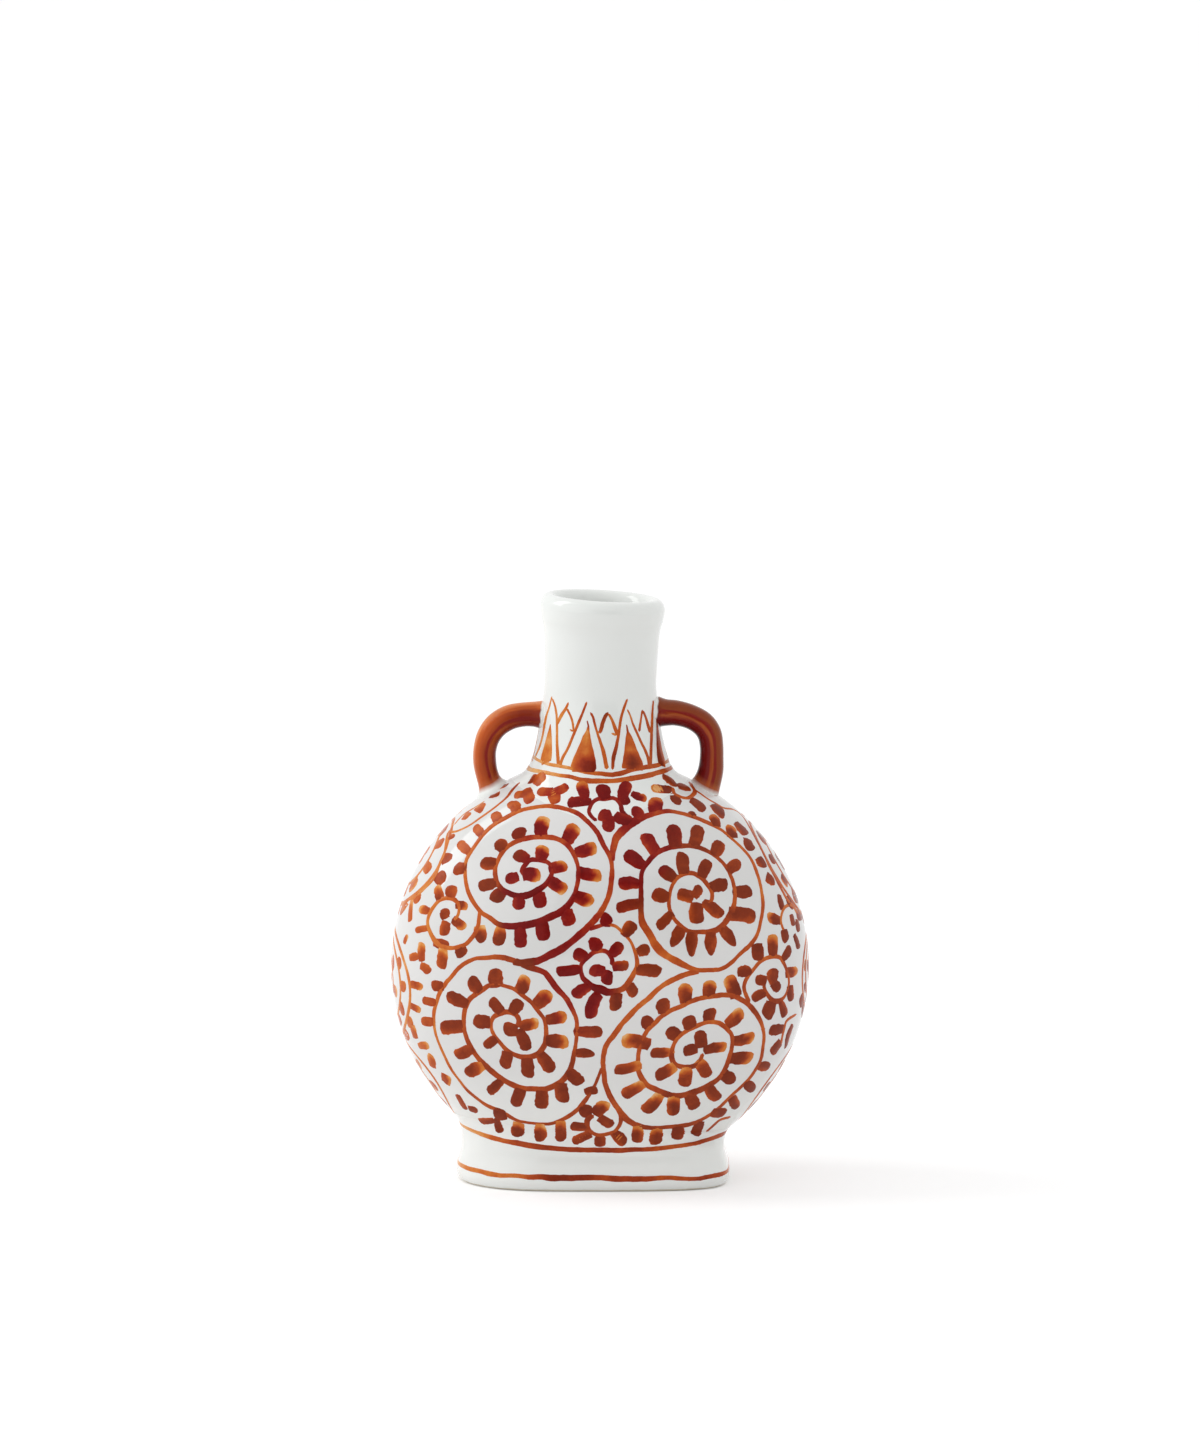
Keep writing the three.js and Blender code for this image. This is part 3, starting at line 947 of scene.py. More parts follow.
class Paint:
    def __init__(self, name, lay, unit, seed, redness):
        self.name = name
        self.lay = lay
        self.unit = unit  # metres for one unit of the sheet
        self.redness = redness
        self.chance = random.Random(seed)
        self.corners, self.faces, self.loads, self.reds = [], [], [], []

    def sway(self, reach):
        return self.chance.uniform(-reach, reach)

    def put(self, point, normal, lift, load, red):
        spot = ground.ray_cast(point + normal * brush["search"], -normal, brush["searchDepth"])
        if spot[0] and spot[1].dot(normal) > brush["steepest"]:
            point, normal = spot[0], spot[1]
        self.corners.append(point + normal * lift)
        self.loads.append(min(1.0, max(0.0, load)))
        self.reds.append(red)
        return len(self.corners) - 1

    def stroke(self, path, halves, load, closed=False, skew=0.0, seen=False, columns="columns"):
        # a domed ribbon; halves are its left and right half widths,
        # and load gives the pigment by station and offset
        spots = [self.lay(x, y) for x, y in path]
        if None in spots:
            return
        count = len(spots)
        film = brush["film"] * self.chance.uniform(*brush["filmSpread"])
        eye = Vector(cameraSet["eye"])
        if self.lay == onBack:
            eye = Vector((eye.x, -eye.y, eye.z))
        rings = []
        for i, (point, normal) in enumerate(spots):
            ahead = spots[(i + 1) % count if closed else min(i + 1, count - 1)][0]
            behind = spots[(i - 1) % count if closed else max(i - 1, 0)][0]
            run = (ahead - behind).normalized()
            side = normal.cross(run).normalized()
            red = min(1.0, max(0.0, self.redness(*path[i]) + self.sway(brush["redSpread"])))
            # the pigment is painted paler where the surface faces left: painted highlight
            kept = 1 - brush["leftSheenPaling"] * ease((-normal.x - brush["leftFrom"]) / brush["leftOver"])
            if not closed and i in (0, count - 1):
                rings.append([self.put(point, normal, 0.0, load(i, 0.0) * kept - brush["edgeThin"] / 2, red)])
                continue
            reach = self.unit
            if seen:
                apparent = math.sqrt(max(0.0, 1 - side.dot((point - eye).normalized()) ** 2))
                reach /= max(brush["leastSeen"], apparent)
            ring = []
            for offset, share in brush[columns]:
                half = halves[i][0 if offset < 0 else 1] * reach
                spot = point + side * (half * offset) + run * (half * offset * skew * i / count)
                lift = film * share if share else -brush["sink"]
                thin = 0.0 if share else brush["edgeThin"]
                ring.append(self.put(spot, normal, lift, load(i, offset) * kept - thin, red))
            rings.append(ring)
        pairs = list(zip(rings, rings[1:]))
        if closed:
            pairs.append((rings[-1], rings[0]))
        for first, second in pairs:
            if len(first) == 1:
                self.faces.extend((first[0], a, b) for a, b in zip(second, second[1:]))
                self.faces.append((first[0], second[-1], second[0]))
            elif len(second) == 1:
                self.faces.extend((b, a, second[0]) for a, b in zip(first, first[1:]))
                self.faces.append((first[0], first[-1], second[0]))
            else:
                for k in range(len(first) - 1):
                    self.faces.append((first[k], second[k], second[k + 1], first[k + 1]))
                self.faces.append((first[-1], second[-1], second[0], first[0]))

    def line(self, points, width=None, pigment=None, step=None, closed=False, seen=False):
        # points are (x, y) or (x, y, width, pigment); between keys the brush changes evenly
        step = step or brush["lineStep"]
        keys = [(i, point[2], point[3]) for i, point in enumerate(points) if len(point) == 4]
        keys = keys or [(0, width, pigment)]
        full = []
        for i, point in enumerate(points):
            before = [key for key in keys if key[0] <= i] or keys[:1]
            after = [key for key in keys if key[0] >= i] or keys[-1:]
            (a, wideA, darkA), (b, wideB, darkB) = before[-1], after[0]
            t = (i - a) / (b - a) if b > a else 0.0
            full.append((point[0], point[1], wideA + (wideB - wideA) * t, darkA + (darkB - darkA) * t))
        path = full[:-1] if closed else curveThrough(full, step)
        gap = brush["driftStations"]
        wander = [self.sway(1) for _ in range(len(path) // gap + 3)]

        def drift(i):
            k, t = divmod(i, gap)
            return wander[k] * (1 - t / gap) + wander[k + 1] * t / gap

        total = len(path)
        halves = []
        for i, (x, y, wide, dark) in enumerate(path):
            half = wide / 2 * (1 + brush["widthDrift"] * drift(i))
            left = min(i, total - 1 - i) * step
            if not closed and left < half:
                half *= math.sqrt(1 - (1 - left / half) ** 2)
            halves.append(tuple(half * self.chance.uniform(*brush["lineEdge"]) for _ in range(2)))
        self.stroke([(x, y) for x, y, wide, dark in path], halves,
                    lambda i, offset: path[i][3] + brush["loadDrift"] * drift(i), closed, seen=seen)

    def dab(self, rootX, rootY, tipX, tipY, width=None, fade=None, dark=None, point=False, swing=None):
        # one press of the brush, from its line outwards
        shape, chance = dabShape, self.chance
        wide = (width or shape["width"]) * chance.uniform(*shape["wide"])
        dark = (dark or shape["dark"]) + self.sway(shape["darkSpread"])
        length = max(math.dist((rootX, rootY), (tipX, tipY)), shape["leastLength"] * wide)
        bow = self.sway(shape["bow"]) if swing is None else swing
        rootShare = chance.uniform(*shape["rootShare"])
        blunt = chance.uniform(*shape["blunt"])
        cap = min(shape["longestCap"], 0.5 * wide / length)
        path, halves = [], []
        for s in shape["stations"]:
            side = bow * math.sin(math.pi * s)
            path.append((rootX + (tipX - rootX) * s - (tipY - rootY) * side,
                         rootY + (tipY - rootY) * s + (tipX - rootX) * side))
            full = rootShare + (1 - rootShare) * ease(s / shape["rootEnds"])
            if point:
                full *= 1 - shape["pointShare"] * max(0.0, s - shape["pointFrom"]) / (1 - shape["pointFrom"])
            full *= (1 - max(0.0, 1 - (1 - s) / cap) ** blunt) ** (1 / blunt)
            full *= math.sqrt(1 - max(0.0, 1 - s / shape["rootRound"]) ** 2)
            half = max(shape["leastHalf"], wide / 2 * full)
            halves.append(tuple(half * chance.uniform(*shape["edge"]) for _ in range(2)))
        pale = chance.uniform(*shape["pale"])
        lean = self.sway(shape["lean"])
        fringe, fringeSide = chance.uniform(0.0, shape["fringe"]), chance.choice((-1, 1))

        def load(i, offset):
            s = shape["stations"][i]
            share = 0.0
            # a glare dab keeps one pale pigment, a painted highlight
            if fade == "glareWash":
                return shape["glareWash"] + shape["glareWashSwing"] * math.sin(shape["glareWashBeat"] * s)
            if fade == "tip":
                late = s + shape["tipBow"] * offset * offset + lean * offset - shape["tipFrom"]
                share = ease(late / shape["fadeOver"])
            elif fade == "root":
                early = shape["rootFrom"] - s + shape["rootBow"] * offset * offset + lean * offset
                share = ease(early / shape["fadeOver"])
            return dark * (1 - share) + pale * share - fringe * max(0.0, offset * fringeSide) ** 2

        self.stroke(path, halves, load, skew=self.sway(shape["skew"]), seen=True)

    def blade(self, rows, seen=False):
        # a filled shape from rows of (y, left, right, pigments at left, middle and right), base first
        path = [((rows[0][1] + rows[0][2]) / 2, rows[0][0] + brush["bladeHeel"])]
        halves, loads = [(0, 0)], [rows[0][3:]]
        for row in rows:
            path.append(((row[1] + row[2]) / 2, row[0]))
            halves.append(((row[2] - row[1]) / 2,) * 2)
            loads.append(row[3:])
        path.append((path[-1][0], rows[-1][0] - brush["bladePoint"]))
        halves.append((0, 0))
        loads.append(rows[-1][3:])

        def load(i, offset):
            left, middle, right = loads[i]
            return middle + ((left if offset > 0 else right) - middle) * min(1.0, abs(offset))

        self.stroke(path, halves, load, seen=seen, columns="wideColumns")

    def finish(self):
        mesh = bpy.data.meshes.new(self.name)
        mesh.from_pydata(self.corners, [], self.faces)
        piece = bpy.data.objects.new(self.name, mesh)
        bpy.context.scene.collection.objects.link(piece)
        mesh.attributes.new("pigment", "FLOAT", "POINT").data.foreach_set("value", self.loads)
        mesh.attributes.new("crimson", "FLOAT", "POINT").data.foreach_set("value", self.reds)
        faceOutward(piece)
        coat(piece, enamel, brush["sharpFrom"])
        return piece


# the scrolls of the front, in pixels of the photograph: lines with width and pigment where the brush
# changes, and dabs from root to tip with a width where it isn't the usual one

topLeftScroll = {
    "line": [(512, 962, 6, 0.8), (521, 963, 8, 0.95), (537, 961), (550, 955, 8.5, 0.85), (563, 948),
             (576, 938), (588, 927, 8, 0.72), (600, 913), (608, 898, 6, 0.55), (611, 884),
             (612, 868, 5, 0.52), (610, 857), (603, 844), (597, 832, 5, 0.62), (588, 822), (577, 813),
             (562, 808), (547, 806, 5.5, 0.46), (531, 808), (519, 811), (505, 818, 6, 0.44), (492, 826),
             (482, 836), (472, 850, 5, 0.42), (466, 861), (465, 872), (466, 883), (470, 896, 5, 0.48),
             (480, 911), (490, 918, 5, 0.5), (498, 924), (506, 926, 7, 0.9), (520, 926),
             (535, 923, 8, 0.9), (550, 917), (562, 911, 7.5, 0.82), (570, 903), (575, 893, 5, 0.7),
             (578, 880), (578, 867, 4.5, 0.64), (573, 853), (565, 843), (554, 838, 6, 0.56), (542, 837),
             (528, 838, 6, 0.62), (515, 842), (505, 849), (498, 860, 5, 0.45), (495, 871),
             (497, 882, 5, 0.6), (502, 889), (511, 894, 6, 0.95), (519, 896), (528, 895, 7, 0.95),
             (538, 890), (546, 884, 6, 0.85), (551, 876), (552, 868, 4.5, 0.7), (547, 862), (538, 860),
             (530, 860, 5, 0.72), (525, 865), (522, 871), (526, 876, 5, 0.7)],
    "dabs": [(505, 850, 496, 841, 15), (519, 839, 520, 827, 15), (497, 864, 480, 863),
             (497, 882, 478, 886, 12), (504, 890, 493, 902), (518, 896, 519, 910, 13),
             (566, 909, 570, 926), (529, 860, 514, 853, 12), (519, 876, 505, 879, 11),
             (467, 868, 453, 870, 13), (541, 921, 544, 941), (520, 926, 521, 948), (539, 891, 542, 908)],
    "tipFade": [(541, 838, 544, 816, 15), (566, 844, 577, 825, 15), (574, 853, 597, 847),
                (576, 871, 602, 876), (572, 895, 593, 904), (549, 881, 566, 892), (548, 868, 567, 864),
                (541, 861, 543, 845, 14), (522, 875, 541, 876, 14)],
    "rootFade": [(501, 926, 499, 946), (479, 925, 484, 942, 14)],
    # dabs paled where the glare lies: painted highlight
    "glareWash": [(517, 812, 513, 801, 12), (499, 824, 494, 812, 11), (483, 837, 474, 826, 11),
             (470, 853, 458, 842, 11)],
}

topRightScroll = {
    "line": [(612, 862, 5.5, 0.7), (613, 850), (617, 837, 9, 0.55), (628, 826), (641, 818, 8, 0.72),
             (653, 814), (667, 811, 5.5, 0.6), (680, 813), (691, 816), (704, 821, 5.5, 0.56), (720, 829),
             (731, 838, 4.5, 0.5), (742, 848), (751, 859, 5, 0.48), (757, 873), (761, 888, 5, 0.46),
             (763, 905), (761, 920, 4.5, 0.46), (757, 935), (750, 945, 4.5, 0.5), (740, 954), (731, 963),
             (721, 969, 4.5, 0.54), (710, 970), (697, 970, 5, 0.52), (686, 966), (676, 961, 7.5, 0.5),
             (664, 954), (656, 946, 9, 0.5), (650, 935), (643, 924, 8, 0.68), (641, 914),
             (641, 899, 5.5, 0.85), (641, 885), (642, 872, 5, 0.9), (648, 862), (657, 853, 5.5, 0.75),
             (668, 848), (681, 846, 5.5, 0.7), (692, 846), (703, 849, 5, 0.7), (714, 855),
             (723, 863, 4.5, 0.62), (729, 872), (733, 882), (735, 893, 5, 0.56), (734, 905),
             (730, 915, 7, 0.7), (723, 925), (714, 931, 7, 0.72), (700, 932, 5, 0.72), (688, 931),
             (679, 924, 4.5, 0.6), (673, 917), (669, 906, 4, 0.54), (670, 893), (673, 884, 4, 0.6),
             (680, 876), (691, 873, 5, 0.64), (700, 877), (707, 884, 5, 0.6), (712, 893),
             (711, 901, 4.5, 0.6), (705, 904)],
    "dabs": [(644, 866, 625, 852), (657, 854, 645, 833), (676, 848, 673, 824, 15),
             (693, 847, 699, 825, 15), (713, 856, 721, 841), (727, 872, 741, 862, 12),
             (732, 892, 752, 890), (728, 914, 756, 917, 15), (640, 884, 618, 884, 14),
             (640, 903, 616, 909, 12), (670, 897, 652, 893), (677, 880, 660, 867), (684, 875, 683, 852),
             (701, 878, 709, 860, 12), (709, 888, 728, 884), (673, 912, 657, 928, 11),
             (694, 898, 677, 894), (693, 897, 701, 886, 11), (697, 902, 697, 924, 14),
             (702, 902, 722, 917, 12), (641, 818, 636, 808, 12), (692, 818, 692, 811, 9),
             (747, 838, 752, 851, 11), (758, 857, 764, 868, 9), (766, 876, 775, 882, 11),
             (757, 943, 758, 961, 13), (737, 972, 752, 970, 13)],
    "pointed": [(721, 927, 736, 946), (711, 931, 711, 956), (693, 931, 692, 957), (682, 927, 671, 947)],
    "tipFade": [(655, 814, 657, 797, 15), (717, 827, 712, 814, 10), (733, 838, 731, 825, 12)],
}

bottomLeftScroll = {
    "line": [(514, 960, 5, 0.8), (521, 963, 6, 0.9), (526, 966), (535, 969, 6.5, 0.75), (545, 973),
             (552, 982, 7, 0.7), (559, 991), (566, 998, 6, 0.66), (572, 1009), (576, 1018, 4.5, 0.46),
             (577, 1028), (576, 1042, 4.5, 0.6), (574, 1054), (572, 1064, 5, 0.66), (569, 1072),
             (563, 1080, 6.5, 0.7), (554, 1086), (545, 1089), (534, 1089, 7, 0.66), (522, 1088),
             (511, 1084, 7, 0.66), (499, 1077), (488, 1068, 7, 0.62), (479, 1059), (472, 1049, 6, 0.62),
             (467, 1039), (464, 1028, 5.5, 0.6), (464, 1016), (466, 1006, 5.5, 0.6), (471, 998),
             (481, 991, 6, 0.62), (488, 986), (496, 984, 4.5, 0.62), (505, 986), (514, 989, 4.5, 0.6),
             (522, 995), (531, 1002, 4.5, 0.62), (538, 1011), (544, 1019, 4.5, 0.62), (546, 1028),
             (546, 1038, 5.5, 0.66), (544, 1046), (538, 1054, 6.5, 0.7), (528, 1057),
             (518, 1056, 6, 0.68), (508, 1051), (501, 1044, 5, 0.6), (494, 1035), (491, 1026, 4.5, 0.56),
             (493, 1018), (501, 1013, 6, 0.6), (509, 1012), (516, 1015, 5.5, 0.62), (519, 1021),
             (517, 1028)],
    "dabs": [(497, 988, 496, 968, 15), (480, 993, 469, 978, 14), (469, 1005, 446, 996),
             (464, 1026, 440, 1029, 15), (474, 1048, 455, 1056, 12), (502, 1080, 488, 1093, 11),
             (521, 1088, 513, 1106), (542, 1090, 541, 1109), (561, 1082, 564, 1103, 14),
             (569, 1070, 582, 1084), (573, 1031, 603, 1032, 12), (502, 1013, 490, 999, 12),
             (511, 1014, 521, 1000), (491, 1022, 473, 1020), (497, 1038, 484, 1047, 11),
             (508, 1051, 503, 1068), (527, 1057, 528, 1078), (539, 1053, 553, 1072, 13),
             (518, 1031, 503, 1027), (518, 1029, 527, 1051, 13), (444, 986, 431, 985, 12),
             (437, 1003, 422, 1000, 9), (434, 1022, 421, 1022, 10), (584, 1092, 598, 1090, 8)],
    "pointed": [(575, 1053, 595, 1055, 11)],
    "tipFade": [(518, 994, 526, 975, 14), (535, 1006, 550, 991, 14), (545, 1020, 567, 1015, 12),
                (545, 1040, 569, 1042), (519, 1027, 539, 1023, 12)],
    "rootFade": [(484, 1065, 466, 1075), (519, 1122, 515, 1137), (540, 1123, 540, 1142, 12),
                 (560, 1120, 560, 1142, 12)],
    "vine": [(528, 963, 6, 0.9), (519, 962, 6, 0.7), (505, 958), (495, 957, 5, 0.46), (485, 958),
             (474, 959, 4, 0.44), (461, 966), (452, 976), (446, 983, 5, 0.46), (440, 992),
             (437, 1001, 5, 0.46), (434, 1012), (434, 1024, 4.5, 0.46), (436, 1035), (440, 1046),
             (445, 1057, 4, 0.46), (451, 1069), (459, 1080, 4, 0.5), (468, 1091), (479, 1100, 5, 0.62),
             (488, 1106), (502, 1112, 6.5, 0.6), (512, 1118), (519, 1121, 4.5, 0.6), (531, 1123),
             (548, 1124, 4, 0.6), (559, 1121), (569, 1116, 5, 0.62), (578, 1109), (584, 1102, 5, 0.66),
             (589, 1095), (595, 1085, 3.5, 0.66), (599, 1075), (602, 1067, 3, 0.6)],
}

bottomRightScroll = {
    "line": [(700, 971, 5, 0.5), (687, 974), (677, 978, 5.5, 0.45), (667, 983), (657, 990, 5.5, 0.42),
             (649, 998), (639, 1006), (630, 1015, 6, 0.44), (621, 1025), (614, 1035, 6, 0.5), (607, 1044),
             (604, 1053), (603, 1063, 5, 0.52), (604, 1073), (605, 1083, 5, 0.56), (609, 1094),
             (614, 1103, 6, 0.6), (619, 1110), (625, 1118, 7.5, 0.62), (634, 1124), (644, 1127, 6, 0.62),
             (655, 1128), (667, 1127, 6, 0.7), (680, 1126, 7, 0.7), (691, 1124), (701, 1120, 6, 0.64),
             (711, 1114), (721, 1106, 5.5, 0.58), (731, 1096), (741, 1087, 5.5, 0.6), (749, 1079),
             (756, 1069, 5.5, 0.6), (761, 1059), (763, 1047, 5, 0.54), (764, 1037), (763, 1029, 5, 0.56),
             (760, 1020), (755, 1012, 5.5, 0.62), (749, 1005), (742, 1000, 6, 0.66), (734, 996),
             (724, 995, 5.5, 0.56), (714, 996), (702, 998, 5, 0.54), (692, 1001), (682, 1006, 5.5, 0.54),
             (672, 1010), (662, 1016, 5.5, 0.58), (655, 1023), (647, 1031, 5, 0.54), (642, 1041),
             (639, 1051, 4.5, 0.54), (638, 1060), (638, 1069, 5, 0.44), (641, 1077), (647, 1085, 6, 0.5),
             (657, 1090), (666, 1094, 7, 0.74), (676, 1096), (688, 1094, 8, 0.74), (700, 1090),
             (709, 1085, 7, 0.72), (718, 1079), (725, 1069, 6, 0.68), (729, 1058), (732, 1047, 5, 0.58),
             (732, 1036), (727, 1029, 5, 0.54), (719, 1023), (709, 1022, 5, 0.46), (699, 1025),
             (690, 1029, 5, 0.5), (681, 1035), (675, 1042, 4.5, 0.5), (672, 1051), (672, 1059, 5.5, 0.62),
             (676, 1065), (685, 1067, 6, 0.72), (694, 1066), (700, 1060, 5, 0.68), (703, 1053)],
    "dabs": [(664, 1014, 663, 998, 14), (653, 1027, 641, 1020, 14), (688, 1094, 696, 1109, 14),
             (708, 1086, 719, 1100, 13), (721, 1073, 734, 1083, 14), (709, 1022, 710, 1008, 14),
             (692, 1029, 687, 1016, 14), (680, 1037, 667, 1029, 15), (702, 1048, 700, 1030),
             (698, 1048, 683, 1052, 11), (678, 1126, 678, 1140, 13), (701, 1121, 695, 1136, 12),
             (711, 1112, 726, 1113, 12), (731, 1097, 738, 1108, 11), (745, 1082, 755, 1090, 11),
             (758, 1066, 770, 1067, 12), (763, 1029, 763, 1029.5, 5)],
    "tipFade": [(686, 1004, 686, 983, 15), (708, 998, 710, 980, 14), (737, 998, 727, 976, 15),
                (651, 1045, 621, 1041, 14), (726, 1026, 743, 1010, 14), (731, 1041, 755, 1036, 12),
                (730, 1058, 753, 1058, 13), (703, 1051, 727, 1047, 11)],
    "rootFade": [(642, 1064, 614, 1070, 10), (645, 1083, 622, 1096, 12), (661, 1093, 643, 1112),
                 (674, 1095, 673, 1116, 14), (675, 1052, 650, 1053, 11), (676, 1065, 655, 1077, 12),
                 (687, 1066, 684, 1087, 14), (697, 1060, 709, 1077, 14), (637, 1125, 637, 1143, 12),
                 (658, 1127, 656, 1145, 13)],
}

middleScroll = {
    "line": [(588, 929, 5, 0.75), (596, 927), (603, 925, 4, 0.68), (612, 925), (618, 928, 3.5, 0.4),
             (622, 932), (628, 938, 3.5, 0.4), (632, 944), (635, 952, 3.5, 0.46), (637, 960),
             (637, 967, 5, 0.46), (634, 973), (630, 980, 6, 0.54), (625, 987), (620, 990, 7, 0.7),
             (613, 992), (607, 992, 9, 0.95), (600, 989), (593, 987, 8, 0.95), (587, 982),
             (583, 978, 5, 0.72), (581, 972), (581, 966, 4, 0.74), (583, 962), (588, 957, 4.5, 0.8),
             (593, 953), (599, 951, 5, 0.5), (605, 951), (609, 954, 5, 0.78), (612, 959),
             (612, 966, 5, 0.9)],
    "dabs": [(605, 927, 609, 914, 13), (624, 937, 634, 922), (637, 953, 650, 948, 12),
             (629, 983, 636, 996, 13), (617, 992, 616, 1011, 13), (590, 986, 573, 997, 12),
             (582, 969, 556, 972, 11), (587, 958, 573, 953), (598, 952, 595, 937, 14),
             (611, 956, 622, 943, 12), (606, 971, 589, 970, 12), (609, 970, 606, 985, 12),
             (635, 970, 661, 973, 13), (612, 967, 629, 965, 10)],
    "long": [(600, 993, 591, 1019, 13)],
}

topMotif = {
    "line": [(597, 821, 4, 0.8), (592, 817), (589, 812, 4, 0.72), (590, 807), (593, 802, 4.5, 0.72),
             (598, 799), (605, 799, 5, 0.7), (613, 798), (618, 801, 5, 0.8), (621, 806),
             (622, 811, 5, 0.9), (626, 816), (633, 822, 6, 0.8)],
    "dabs": [(606, 800, 603, 784, 14), (592, 802, 567, 803, 11), (621, 802, 628, 781, 13),
             (620, 801, 630, 799, 11), (640, 818, 637, 806), (612, 814, 598, 815, 12),
             (609, 815, 607, 832, 12), (614, 815, 631, 822, 13), (499, 788, 508, 785, 6),
             (489, 797, 500, 793, 5), (529, 784, 536, 774, 5)],
    "tipFade": [(585, 801, 580, 781, 12), (631, 793, 647, 799, 8)],
    # dabs paled where the glare lies: painted highlight
    "glareWash": [(552, 789, 556, 804, 13), (552, 793, 568, 785, 9), (553, 792, 537, 791, 10),
             (526, 788, 531, 803, 12), (526, 795, 514, 795, 9), (533, 784, 545, 773, 10),
             (515, 808, 509, 802, 9)],
}

shoulderMotif = {
    "line": [(673, 787, 4, 0.6), (674, 793), (681, 797, 5, 0.56), (688, 798), (693, 795, 5, 0.58),
             (695, 791), (692, 786, 5, 0.66), (689, 781)],
    "dabs": [(662, 776, 676, 787, 7), (677, 786, 690, 788, 9), (674, 795, 677, 805, 11),
             (690, 799, 705, 811, 9), (712, 804, 725, 815, 9), (704, 786, 716, 796, 5),
             (735, 822, 747, 835, 8)],
    "tipFade": [(674, 790, 651, 789, 9)],
    "vine": [(690, 784, 4, 0.62), (694, 789), (701, 794, 4, 0.5), (708, 799), (717, 804, 3.5, 0.5),
             (724, 808), (732, 809, 3.5, 0.46), (738, 812), (744, 818, 3.5, 0.46), (750, 828),
             (757, 841, 3.5, 0.46), (764, 854), (768, 864, 4, 0.46), (773, 873), (777, 881, 4, 0.5),
             (782, 890), (787, 899, 5, 0.46), (794, 907), (799, 914, 4, 0.44)],
}

leftScroll = {
    "line": [(480, 910, 4.5, 0.46), (479, 918), (478, 926, 5, 0.5), (474, 935), (466, 944, 5, 0.55),
             (458, 947), (450, 948, 5, 0.44), (441, 946), (435, 941, 6, 0.42), (431, 934),
             (428, 926, 5, 0.42), (428, 919), (431, 911, 5, 0.44), (435, 905), (440, 900, 5, 0.46),
             (447, 898), (455, 900, 4.5, 0.46), (459, 906), (458, 915, 3.5, 0.36), (453, 921)],
    "dabs": [(450, 898, 452, 885, 12), (429, 928, 415, 931, 7), (433, 942, 449, 947, 11),
             (461, 946, 463, 957, 13), (446, 919, 445, 908, 11), (447, 921, 444, 936, 11),
             (448, 838, 455, 836, 6), (441, 862, 450, 853, 10), (436, 884, 446, 873, 12),
             (409, 958, 419, 956, 9), (420, 965, 430, 973, 9)],
    "tipFade": [(440, 900, 436, 886, 10), (455, 905, 468, 907, 10), (452, 919, 465, 929, 10),
                (430, 911, 419, 908, 9), (410, 984, 423, 988, 8), (410, 1005, 421, 1011, 7),
                (404, 944, 408, 935, 5), (422, 962, 422, 942, 8), (418, 1046, 429, 1045, 9),
                (416, 1039, 412, 1024, 6)],
    "rootFade": [(443, 947, 441, 969, 11), (412, 899, 410, 922, 5)],
    # dabs paled where the glare lies: painted highlight
    "glareWash": [(463, 820, 470, 812, 6), (476, 812, 483, 803, 9)],
    "twig": [(454, 825, 3, 0.34), (463, 815), (474, 808, 3, 0.34), (485, 801)],
    "vine": [(520, 782, 3, 0.4), (513, 789, 4.5, 0.7), (507, 797, 3.5, 0.5), (499, 804),
             (490, 811, 3.5, 0.4), (480, 818), (470, 825, 3, 0.34), (460, 830), (453, 832),
             (449, 831, 3.5, 0.34), (447, 836), (446, 843, 4, 0.36), (445, 850), (441, 861, 3.5, 0.4),
             (437, 872), (432, 881, 3.5, 0.42), (426, 887), (419, 894, 3.5, 0.42), (413, 898),
             (407, 899, 4, 0.4)],
}

rightScroll = {
    "line": [(750, 1003, 5, 0.66), (746, 995), (744, 987, 5, 0.62), (747, 978), (754, 969, 4.5, 0.5),
             (761, 961), (770, 957, 5, 0.5), (779, 957), (783, 962, 5, 0.6), (786, 968),
             (789, 980, 4, 0.55), (788, 988), (785, 996, 4, 0.52), (779, 1001, 6, 0.68), (772, 1000),
             (767, 994, 5, 0.68), (764, 987, 4.5, 0.7), (765, 981)],
    "dabs": [(782, 960, 791, 947, 9), (767, 981, 755, 980, 12), (774, 984, 773, 968, 13),
             (772, 982, 780, 990, 12), (767, 992, 752, 1000, 10), (772, 1001, 765, 1018, 12),
             (780, 1001, 785, 1017, 9), (790, 985, 792, 1001, 9), (784, 1029, 769, 1030, 12),
             (781, 1041, 771, 1054, 8), (779, 894, 783, 909, 6), (784, 929, 787, 942, 8),
             (791, 914, 794, 926, 5), (797, 919, 799, 932, 6), (794, 934, 799, 949, 6),
             (793, 1024, 786, 1048, 6)],
    "tipFade": [(773, 958, 772, 934, 11), (785, 973, 798, 970, 11), (781, 921, 767, 917, 12)],
    "twig": [(797, 1014, 3.5, 0.4), (790, 1018), (786, 1022, 4, 0.44), (784, 1030), (782, 1038, 4, 0.44),
             (781, 1045)],
    "curl": [(784, 931, 4, 0.52), (781, 922), (782, 913, 4, 0.44), (785, 907), (790, 905, 4, 0.44),
             (794, 908), (797, 914)],
}

bottomMotif = {
    "line": [(619, 1110, 5, 0.62), (621, 1117), (620, 1124, 4.5, 0.62), (615, 1131), (607, 1134, 5, 0.68),
             (598, 1135), (591, 1132, 5, 0.68), (587, 1126), (588, 1119, 6, 0.7), (594, 1115)],
    "dabs": [(592, 1114, 579, 1108, 13), (599, 1117, 613, 1126, 11), (588, 1127, 570, 1126, 9),
             (591, 1133, 572, 1142, 10), (600, 1135, 600, 1147, 12), (613, 1132, 625, 1145, 12),
             (507, 1115, 493, 1113, 12), (497, 1118, 501, 1133, 9), (495, 1120, 479, 1121, 8),
             (468, 1108, 478, 1111, 7), (457, 1094, 466, 1110, 6)],
    "tipFade": [(594, 1115, 606, 1101, 13), (441, 1076, 451, 1083, 9), (433, 1068, 431, 1054, 9)],
    "twig": [(706, 1132, 4, 0.5), (713, 1126), (720, 1120, 5, 0.55), (731, 1117)],
}

